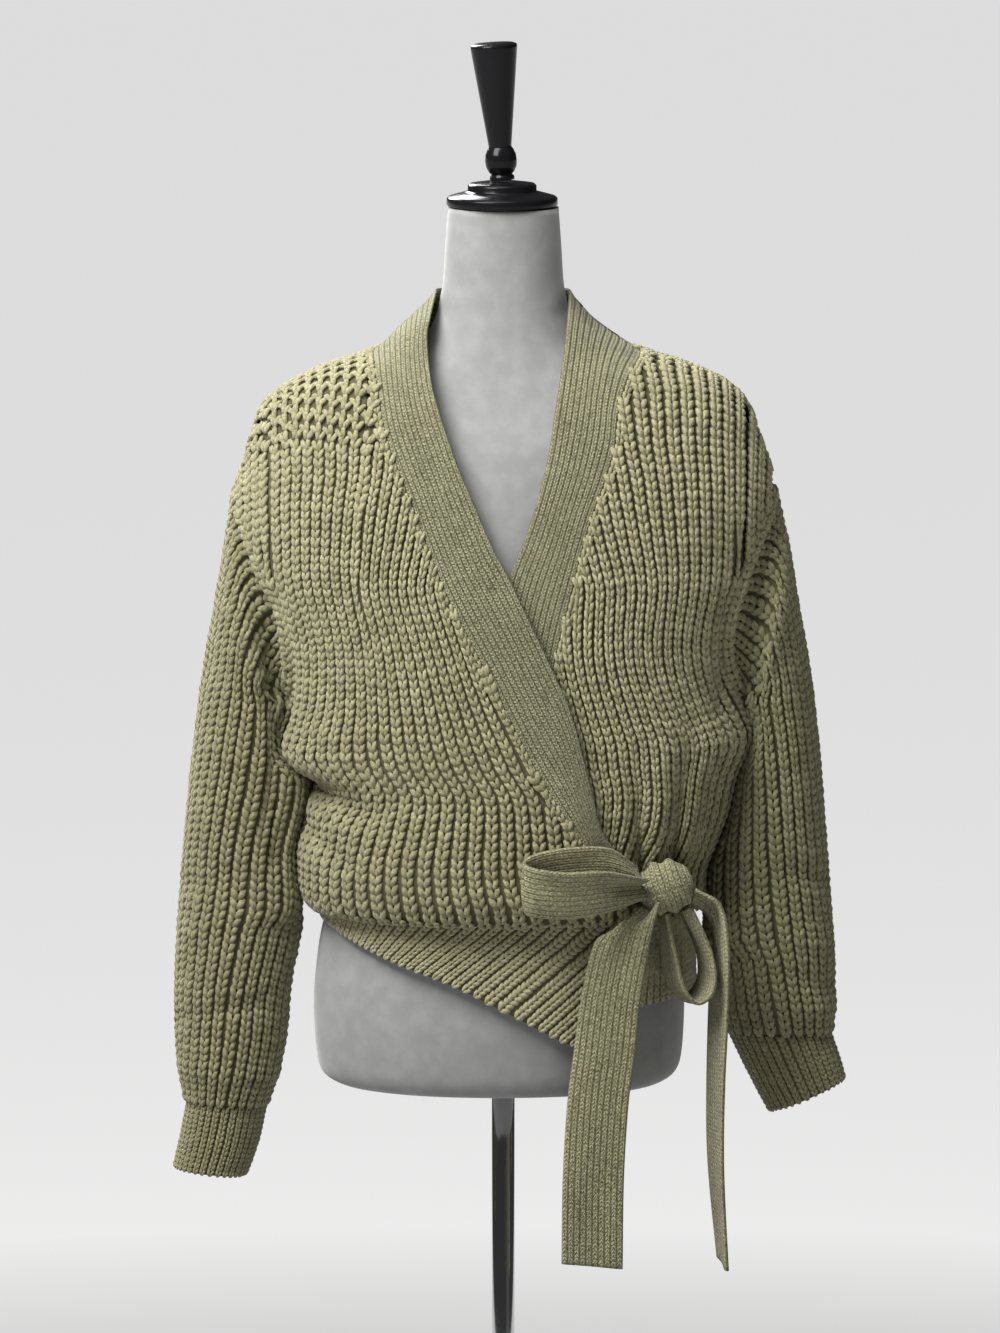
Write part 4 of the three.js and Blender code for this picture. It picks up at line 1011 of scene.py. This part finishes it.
def fine_knit_group():
    """Small V stitches from a UV map counted in stitches, out as Height (0 in the gaps)"""
    n, given, result = node_group("Fine knit", "ShaderNodeTree", (("UV", "Vector"),), (("Height", "Float"),))
    split = n.add("ShaderNodeSeparateXYZ")
    n.put(given["UV"], split.inputs[0])
    across = n.math("ABSOLUTE", n.math("SUBTRACT", n.math("FRACT", split.outputs[0]), 0.5))
    along = n.math("FRACT", n.math("SUBTRACT", split.outputs[1], n.math("MULTIPLY", across, 1.5)))
    row = n.math("SUBTRACT", n.math("MULTIPLY", along, 2.0), 1.0)
    row = n.math("SUBTRACT", 1.0, n.math("MULTIPLY", row, row))
    row = n.math("ADD", n.math("MULTIPLY", row, 0.65), 0.35)
    edge = n.math("SUBTRACT", 1.0, n.math("POWER", n.math("MULTIPLY", across, 2.0), 2.4), clamp=True)
    core = n.math("ADD", n.math("MULTIPLY", n.math("MULTIPLY", across, 5.0, clamp=True), 0.45), 0.55)
    n.put(n.math("MULTIPLY", n.math("MULTIPLY", edge, core), row), result["Height"])
    return n.tree


def cloth_base(name, tools, light, dark, sheen):
    """A material whose heathered yarn runs from dark to light"""
    mat, n, shader = new_material(name, {
        "Roughness": 0.92, "Specular IOR Level": 0.2, "Sheen Weight": sheen, "Sheen Roughness": 0.55})
    heather = n.fill(n.add("ShaderNodeGroup", node_tree=tools["heather"]), Light=light, Dark=dark)
    return mat, n, shader, heather


def yarn_material(name, tools, light, dark):
    """Material of the plump stitches"""
    mat, n, shader, heather = cloth_base(name, tools, light, dark, 0.35)
    shade = n.add("ShaderNodeAttribute", attribute_name="shade")
    n.put(shade.outputs["Fac"], heather.inputs["Shade"])
    n.put(heather.outputs["Color"], shader.inputs["Base Color"])
    shader.inputs["Sheen Tint"].default_value = YARN_SHEEN
    n.bump(heather.outputs["Relief"], 0.5, 0.0006, shader)
    return mat


def fine_material(name, tools, light, dark, depth, gap, sheen=0.15):
    """Material of the fine knit: relief from the UV map's stitches, and painted shade that darkens the gaps
    between them
    """
    mat, n, shader, heather = cloth_base(name, tools, light, dark, sheen)
    heather.inputs["Shade"].default_value = 0.5
    uv = n.add("ShaderNodeUVMap", uv_map="knit")
    knit = n.fill(n.add("ShaderNodeGroup", node_tree=tools["fine"]), UV=uv.outputs[0])
    shadow = n.math("ADD", n.math("MULTIPLY", knit.outputs["Height"], 1 - gap), gap, clamp=True)
    grey = n.fill(n.add("ShaderNodeCombineColor"), Red=shadow, Green=shadow, Blue=shadow)
    n.put(n.blend(1.0, heather.outputs["Color"], grey.outputs[0], "MULTIPLY"), shader.inputs["Base Color"])
    height = n.math("ADD", knit.outputs["Height"], n.math("MULTIPLY", heather.outputs["Relief"], 0.35))
    n.bump(height, 0.8, depth, shader)
    return mat


def velvet_material(color):
    """Velvet: soft patches where the pile is crushed, and the pile's own relief"""
    mat, n, shader = new_material("velvet", {
        "Roughness": 0.9, "Specular IOR Level": 0.15, "Sheen Weight": 0.5, "Sheen Roughness": 0.4})
    place = n.place()
    crushed = tuple(c * 0.84 for c in color[:3]) + (1,)
    patch = n.math("MULTIPLY", n.math("SUBTRACT", n.noise(place, 60, 7.0), 0.4), 3.0, clamp=True)
    n.put(n.blend(patch, crushed, color), shader.inputs["Base Color"])
    nap = n.math("MULTIPLY", n.noise(place, 9, 3.0), 2.0)
    n.bump(n.math("ADD", n.noise(place, 900), nap), 0.35, 0.0004, shader)
    return mat


def hard_material(name, color, rough, metal=0.0, coat=0.0, wear=0.05, specular=0.5):
    """Lacquer or metal: smudges change its roughness by wear"""
    mat, n, shader = new_material(name, {
        "Base Color": color, "Metallic": metal, "Coat Weight": coat, "Coat Roughness": 0.04,
        "Specular IOR Level": specular})
    smudge = n.math("MULTIPLY", n.noise(n.place(), 22, 3.0), wear * 2)
    n.put(n.math("ADD", smudge, rough - wear), shader.inputs["Roughness"])
    return mat


# ---- settings ----
def color_setting(name, description, default):
    return FloatVectorProperty(
        name=name, description=description, subtype="COLOR", size=4, min=0, max=1, default=default + (1,))


def count_setting(name, description, default):
    return IntProperty(name=name, description=description, default=default)


class CardiganSettings(bpy.types.PropertyGroup):
    """Sizes and colours of the knit"""
    light: color_setting("Light yarn", "Light fibres", (0.40, 0.375, 0.225))
    dark: color_setting("Dark yarn", "Dark fibres", (0.19, 0.177, 0.092))
    # Painted shade: the ground's colour is darker than the yarn, standing in for the shade between the ribs
    deep: color_setting("Ground", "Knit behind the ribs", (0.12, 0.11, 0.058))
    row: FloatProperty(name="Row", description="Height of a stitch", default=0.0078, unit="LENGTH")
    over: count_setting("Front ribs", "Ribs on the upper front", 28)
    under: count_setting("Under ribs", "Ribs on the under front", 22)
    back: count_setting("Back ribs", "Ribs on the back", 46)
    sleeve: count_setting("Sleeve ribs", "Ribs round a sleeve", 28)
    cuff: count_setting("Cuff ribs", "Ribs round a cuff", 34)


class StandSettings(bpy.types.PropertyGroup):
    """Colours of the form, its stand and the floor"""
    velvet: color_setting("Velvet", "The form's cover", (0.315, 0.32, 0.318))
    lacquer: color_setting("Lacquer", "Cap and finial", (0.007, 0.007, 0.008))
    backdrop: color_setting("Backdrop", "Floor", (0.36, 0.36, 0.36))


TOOLS = {}
SHAPES = {}


def tools():
    """Materials, node groups and the stitch, made once"""
    if TOOLS:
        return TOOLS
    knit = bpy.context.scene.cardigan
    stand = bpy.context.scene.cardigan_stand
    TOOLS["heather"] = heather_group()
    TOOLS["fine"] = fine_knit_group()
    deep = tuple(knit.deep)
    TOOLS["yarn"] = yarn_material("yarn", TOOLS, tuple(knit.light), tuple(knit.dark))
    # The ground is the same yarn as the stitches, given a dark colour: painted shade in the gaps between the
    # ribs
    TOOLS["ground"] = fine_material("ground", TOOLS, deep, deep, 0.0008, 0.7, sheen=0.0)
    TOOLS["band"] = fine_material("band_knit", TOOLS, BAND_LIGHT, BAND_DARK, 0.0022, 0.15)
    TOOLS["belt"] = fine_material("belt_knit", TOOLS, BELT_LIGHT, BELT_DARK, 0.0026, 0.4)
    TOOLS["velvet"] = velvet_material(tuple(stand.velvet))
    TOOLS["lacquer"] = hard_material("lacquer", tuple(stand.lacquer), 0.22, coat=0.08, specular=0.12)
    TOOLS["chrome"] = hard_material("chrome", CHROME, 0.1, metal=1.0, wear=0.03)
    TOOLS["iron"] = hard_material("iron", IRON, 0.42, coat=0.2)
    TOOLS["tree"] = stitch_tree()
    TOOLS["stitch"] = bpy.data.objects.new("stitch_source", leg_mesh())
    bpy.context.scene.collection.objects.link(TOOLS["stitch"])
    return TOOLS


def shapes():
    """The weaves that several pieces share"""
    if SHAPES:
        return SHAPES
    SHAPES["over"] = front_weave(
        -1, OVER_SEAM, math.radians(150), 1.35, 1.1,
        lambda x: mix(-6, 48, smooth((x + 216) / 170)), no_inset)
    SHAPES["under"] = front_weave(
        1, UNDER_SEAM, math.radians(100), 1.7, 0.97,
        lambda x: mix(-4, 56, smooth((x + 222) / 140)), under_inset, 0.45)
    SHAPES["back"] = back_weave()
    return SHAPES


class PieceOperator:
    """What all piece operators share: build() makes the pieces from the knit's settings"""
    bl_options = {"REGISTER"}

    def execute(self, context):
        self.build(context.scene.cardigan)
        return {"FINISHED"}


class CARDIGAN_OT_fronts(PieceOperator, bpy.types.Operator):
    """Both fronts, in chunky rib"""
    bl_idname = "cardigan.fronts"
    bl_label = "Fronts"

    def build(self, knit):
        row = knit.row / MM
        for name, key, side, seam, inset, ribs in (
                ("front_right", "over", -1, OVER_SEAM, no_inset, knit.over),
                ("front_left", "under", 1, UNDER_SEAM, under_inset, knit.under)):
            weave = shapes()[key]
            places = stitch_points(weave, ribs, row, STITCH_LIFT, FRONT_DEEP, 0.94, mesh=shoulder_mesh)
            cap = cap_weave(side, False)
            places += stitch_points(cap, CAP_RIBS, row, STITCH_LIFT, STITCH_DEEP, mesh=shoulder_mesh)
            places += seam_places(seam, side, inset)
            base, lumps = knit_piece(name, weave, ribs, row * 0.7, BODY_GROUND, places)


class CARDIGAN_OT_back(PieceOperator, bpy.types.Operator):
    """The back, in chunky rib"""
    bl_idname = "cardigan.back"
    bl_label = "Back"

    def build(self, knit):
        row = knit.row / MM
        weave = shapes()["back"]
        places = ridge_places(-1) + ridge_places(1)
        caps = [(cap_weave(side, True), CAP_RIBS) for side in (-1, 1)]
        for part, ribs in [(weave, knit.back)] + caps:
            places += stitch_points(part, ribs, row * 1.04, STITCH_LIFT, STITCH_DEEP, mesh=shoulder_mesh)
        base, lumps = knit_piece("back", weave, knit.back, row * 0.7, BODY_GROUND, places)


class CARDIGAN_OT_sleeves(PieceOperator, bpy.types.Operator):
    """Both sleeves and their cuffs"""
    bl_idname = "cardigan.sleeves"
    bl_label = "Sleeves and cuffs"

    def build(self, knit):
        row = knit.row / MM
        made = shapes()
        ring = np.linspace(0, 1, 300)
        angle = 2 * np.pi * ring + TWIST
        for name, side, key, s_back, sleeve, cuff in (
                ("right", -1, "over", 0.0, SLEEVE_RIGHT, CUFF_RIGHT),
                ("left", 1, "under", 1.0, SLEEVE_LEFT, CUFF_LEFT)):
            edges = (panel_edge(made[key], 0.0), panel_edge(made["back"], s_back))
            weave = sleeve_weave(sleeve, side, edges, CREASES["sleeve_" + name])
            # Tone 0.0: the sleeves' stitches are painted darker than the body's, painted shade for the less
            # lit sleeves
            places = stitch_points(weave, knit.sleeve, row, STITCH_LIFT, STITCH_DEEP, 0.95, 0.0)
            face = unit(stack(side * 0.5, -0.9 * np.sin(angle), 0.3 * np.cos(angle)))
            places += chain(weave.at(ring, 1.0) - [side * 2, 0, 0], face, 8.2, (15, 8.4, 9), 0.4)
            base, lumps = knit_piece("sleeve_" + name, weave, knit.sleeve, row * 0.7, BODY_GROUND, places)
            tube = sleeve_weave(cuff, side, None)
            # Tone -0.1: the cuffs' stitches are painted darker still, painted shade
            places = stitch_points(tube, knit.cuff, 5.4, TRIM_LIFT, 5.2, 0.95, -0.1)
            base, lumps = knit_piece("cuff_" + name, tube, knit.cuff, 4.5, CUFF_GROUND, places)


class CARDIGAN_OT_hem(PieceOperator, bpy.types.Operator):
    """The ribbed hem below the overhang"""
    bl_idname = "cardigan.hem"
    bl_label = "Hem"

    def build(self, knit):
        runs = (
            ("hem_right", -300, HEM_OVER_END, over_low, lambda x: mix(0.0, 1.15, smooth((x + 175) / 110)),
             lambda x: 0 * x, True, 37),
            ("hem_left", HEM_UNDER_END, 300, under_low, lambda x: mix(0.7, 0.0, smooth((x - 70) / 80)),
             lambda x: HEM_UNDER * (1 - smooth((x - 78) / 40)), True, 27),
            ("hem_back", -300, 300, back_low, lambda x: 0.0, lambda x: 0 * x, False, 58))
        for name, x_from, x_to, low, lean, inset, front, ribs in runs:
            weave = hem_weave(x_from, x_to, low, lean, inset, front)
            places = stitch_points(weave, ribs, 5.0, TRIM_LIFT, 4.6, 0.98, 0.8)
            base, lumps = knit_piece(name, weave, ribs, 4.0, HEM_GROUND, places)


class CARDIGAN_OT_bands(PieceOperator, bpy.types.Operator):
    """The fine-knit band in its three runs"""
    bl_idname = "cardigan.bands"
    bl_label = "Bands"

    def build(self, knit):
        over = band_weave(OVER_SEAM, OVER_EDGE, -1, no_inset)
        under = band_weave(UNDER_SEAM, UNDER_EDGE, 1, under_inset)
        for name, weave, width, length in (
                ("band_right", over, 0.06, 0.62), ("band_left", under, 0.06, 0.60),
                ("band_neck", neck_weave(), 0.07, 0.26)):
            base = fine_cloth(name, weave, tools()["band"], 11, 3.3, 120, 3.4, 0.35)


class CARDIGAN_OT_belt(PieceOperator, bpy.types.Operator):
    """The belt, tied in a bow"""
    bl_idname = "cardigan.belt"
    bl_label = "Belt"

    def build(self, knit):
        for name, table, length, start, end in (
                ("belt_loop_left", LOOP_LEFT, 0.25, 3.0, 4.2),
                ("belt_loop_right", LOOP_RIGHT, 0.20, 1.6, 1.6),
                ("belt_tail_left", TAIL_LEFT, 0.34, 5.0, 0.0),
                ("belt_tail_right", TAIL_RIGHT, 0.35, 3.0, 0.0)):
            weave = strip_weave(table)

            def folds(s, t, start=start, end=end):
                near = start * np.exp(-((t / 0.16) ** 2)) + end * np.exp(-(((1 - t) / 0.16) ** 2))
                return near * np.cos(3 * np.pi * s + 0.5) + 0.9 * np.sin(2 * np.pi * s + 5 * t)

            base = fine_cloth(name, weave, tools()["belt"], 10, 3.8, 110, 4.6, 0.5, folds)
        self.knot()

    def knot(self):
        """A strip wound once round the others: columns of stitches run round it"""
        rows = 49
        cols = 72
        w = np.linspace(-1, 1, rows)[:, None]
        turn = np.linspace(0, 2 * np.pi, cols, endpoint=False)[None, :]
        radius = np.maximum(0.0, 1 - np.abs(w) ** 2.6) ** 0.5
        fold = 1 + 0.075 * np.cos(3.4 * np.pi * w + 1.5 * np.sin(turn) + 0.6)
        x = w * KNOT["wide"] * (1.02 + 0.05 * np.cos(turn))
        y = -np.cos(turn) * radius * fold * KNOT["deep"]
        z = np.sin(turn) * radius * fold * KNOT["high"]
        lean = math.radians(KNOT["lean"])
        px = x * math.cos(lean) + z * math.sin(lean)
        pz = -x * math.sin(lean) + z * math.cos(lean)
        p = stack(px + KNOT["x"], y + KNOT["y"], pz + KNOT["z"])[1:-1]
        verts = list(p.reshape(-1, 3))
        n = rows - 2
        faces, here, there = quads(n, cols)
        faces = faces.tolist()
        for j in (0, n - 1):
            faces += [(len(verts), int(a), int(b)) for a, b in zip(here[j], there[j])]
            verts.append(p[j].mean(axis=0))
        u = np.linspace(0, 10, n)[:, None]
        v = (np.arange(cols) / cols * 36)[None, :]
        uvs = np.stack(np.broadcast_arrays(u, v), -1).reshape(-1, 2).tolist() + [[0, 0], [10, 0]]
        base = add_piece("belt_knot_cloth", verts, faces, tools()["belt"], uvs)
        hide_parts("belt_knot")


class CARDIGAN_OT_stand(PieceOperator, bpy.types.Operator):
    """The dress form and its stand"""
    bl_idname = "cardigan.stand"
    bl_label = "Dress form and stand"

    def build(self, knit):
        t = tools()
        self.cover()
        cap = ((0, 0), (47, 0), (50.6, 1.6), (51, 4), (50.6, 8.2), (48.5, 10), (36, 13.4), (31.5, 14.6),
               (31.5, 19.6), (29.5, 21.6), (16, 23.4), (0, 23.8))
        fin = ((0, 0), (11.6, 0), (11.2, 3), (9.4, 5), (11.6, 7), (14, 12), (14.6, 17.5), (14, 23),
               (11.6, 28.4), (10.4, 30), (10.6, 32), (21.4, 121), (21, 123.6), (18, 125), (0, 125.4))
        self.turned("neck_cap", cap, t["lacquer"], "lacquer", Matrix.Translation((-1, 0, 1528.4)))
        lean = Matrix.Translation((-1, 0, 1553.3)) @ Matrix.Rotation(math.radians(-3.6), 4, "Y")
        self.turned("finial", fin, t["lacquer"], "lacquer", lean)
        tube = ((0, 12.3), (10.6, 12.3), (10.6, 719.7), (0, 719.7))
        self.turned("pole", tube, t["chrome"], "chrome", Matrix())
        self.turned("base_plate", ((0, 0), (163.5, 0), (165, 1.5), (165, 7), (162, 10.5), (153, 12), (0, 12)),
                    t["iron"], "base", Matrix())

    def cover(self):
        """The velvet cover: the form's own sections, closed at both ends"""
        rows = 130
        cols = 84
        r = np.linspace(0, FORM.last, rows)[:, None]
        turn = np.linspace(0, 2 * np.pi, cols, endpoint=False)[None, :]
        q = np.sin(turn)
        z = FORM.at("z", r)
        deep = np.where(q > 0, FORM.at("front", r), FORM.at("back", r))
        mid = mix(-4, 0, np.clip((z - 800) / 620, 0, 1))
        x = mid - FORM.at("half", r) * power(np.cos(turn), 2 / FORM_ROUND)
        p = stack(x, -deep * power(q, 2 / FORM_ROUND), z + 0 * turn)
        verts = list(p.reshape(-1, 3)) + [np.array((-4.0, 0, 720)), np.array((0.0, 0, 1528))]
        n = rows * cols
        faces, at, there = quads(rows, cols)
        faces = faces.tolist()
        faces += [(n, int(there[0, i]), int(at[0, i])) for i in range(cols)]
        faces += [(n + 1, int(at[-1, i]), int(there[-1, i])) for i in range(cols)]
        obj = add_piece("form_cover", verts, faces, tools()["velvet"])
        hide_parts("form_torso")

    def turned(self, node, profile, material, slot, place, cols=96):
        """A turned piece: the profile's corners are kept by short steps on both sides of them"""
        points = []
        for k, (r, z) in enumerate(profile):
            for n in (k - 1, k + 1):
                if 0 <= n < len(profile):
                    dr, dz = profile[n][0] - r, profile[n][1] - z
                    f = min(0.3, 0.35 / max(1e-6, math.hypot(dr, dz)))
                    points.append((r + dr * f, z + dz * f))
                else:
                    points.append((r, z))
        points = [p for k, p in enumerate(points) if k not in (0, len(points) - 1)]
        verts = []
        for r, z in points:
            r = max(r, 0.01)
            for i in range(cols):
                turn = 2 * math.pi * i / cols
                verts.append(np.array(place @ Vector((r * math.cos(turn), r * math.sin(turn), z))))
        faces = quads(len(points), cols)[0].tolist()
        faces.append(tuple(range(cols)))
        faces.append(tuple(range((len(points) - 1) * cols, len(points) * cols)))
        obj = add_piece(node + "_turned", verts, faces, material)
        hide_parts(node)


class CARDIGAN_OT_stage(bpy.types.Operator):
    """Floor, lights and camera"""
    bl_idname = "cardigan.stage"
    bl_label = "Stage"

    def execute(self, context):
        scene = context.scene
        self.floor(tuple(scene.cardigan_stand.backdrop))
        for name, spot, target, size, watts, tint, spread in LAMPS:
            lamp = bpy.data.lights.new(name, "AREA")
            lamp.energy = watts
            lamp.size = size
            lamp.color = tint
            lamp.spread = math.radians(spread)
            self.aimed(name, lamp, spot, target)
        world = bpy.data.worlds.new("studio")
        world.use_nodes = True
        sky = world.node_tree.nodes["Background"]
        sky.inputs[0].default_value = (1.0, 1.0, 1.0, 1)
        sky.inputs[1].default_value = WORLD_LIGHT
        scene.world = world
        camera = bpy.data.cameras.new("camera")
        camera.lens = CAMERA_LENS
        camera.sensor_width = 36
        scene.camera = self.aimed("camera", camera, CAMERA, CAMERA_AIM)
        scene.view_settings.view_transform = "Standard"
        return {"FINISHED"}

    def aimed(self, name, data, spot, target):
        """A lamp or camera at a spot, pointing at a target"""
        obj = bpy.data.objects.new(name, data)
        obj.location = spot
        obj.rotation_euler = (Vector(target) - Vector(spot)).to_track_quat("-Z", "Y").to_euler()
        bpy.context.scene.collection.objects.link(obj)
        return obj

    def floor(self, color):
        """A wide pale floor, whose far part glows like a lit backdrop"""
        mat, n, shader = new_material("backdrop", {"Roughness": 0.9, "Emission Color": (1, 1, 1, 1)})
        place = n.place()
        dim = tuple(c * 0.97 for c in color[:3]) + (1,)
        n.put(n.blend(n.noise(place, 1.5, 1.0), color, dim), shader.inputs["Base Color"])
        split = n.add("ShaderNodeSeparateXYZ")
        n.put(place, split.inputs[0])
        squares = [n.math("POWER", split.outputs[k], 2.0) for k in (0, 1)]
        away = n.math("SQRT", n.math("ADD", *squares))
        glow = n.math("MULTIPLY", n.math("SUBTRACT", away, GLOW_FROM), 0.5, clamp=True)
        n.put(n.math("MULTIPLY", glow, FLOOR_GLOW), shader.inputs["Emission Strength"])
        mesh = bpy.data.meshes.new("backdrop")
        h = FLOOR_HALF
        mesh.from_pydata([(-h, -h, 0), (h, -h, 0), (h, h, 0), (-h, h, 0)], [], [(0, 1, 2, 3)])
        mesh.shade_smooth()
        mesh.materials.append(mat)
        floor = bpy.data.objects.new("backdrop", mesh)
        bpy.context.scene.collection.objects.link(floor)


OPERATORS = (
    CARDIGAN_OT_stage, CARDIGAN_OT_stand, CARDIGAN_OT_fronts, CARDIGAN_OT_back, CARDIGAN_OT_sleeves,
    CARDIGAN_OT_hem, CARDIGAN_OT_bands, CARDIGAN_OT_belt)


class CARDIGAN_PT_panel(bpy.types.Panel):
    """Sidebar panel with all the operators"""
    bl_idname = "CARDIGAN_PT_panel"
    bl_label = "Wrap cardigan"
    bl_space_type = "VIEW_3D"
    bl_region_type = "UI"
    bl_category = "Cardigan"

    def draw(self, context):
        for operator in OPERATORS:
            self.layout.operator(operator.bl_idname)
        for name in ("light", "dark", "deep", "row"):
            self.layout.prop(context.scene.cardigan, name)


CLASSES = (CardiganSettings, StandSettings) + OPERATORS + (CARDIGAN_PT_panel,)


def register():
    for item in CLASSES:
        bpy.utils.register_class(item)
    bpy.types.Scene.cardigan = PointerProperty(type=CardiganSettings)
    bpy.types.Scene.cardigan_stand = PointerProperty(type=StandSettings)


def unregister():
    del bpy.types.Scene.cardigan
    del bpy.types.Scene.cardigan_stand
    for item in reversed(CLASSES):
        bpy.utils.unregister_class(item)


def main():
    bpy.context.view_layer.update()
    register()
    for operator in OPERATORS:
        group, name = operator.bl_idname.split(".")
        getattr(getattr(bpy.ops, group), name)()
    bpy.data.objects.remove(TOOLS["stitch"])


if __name__ == "__main__":
    main()
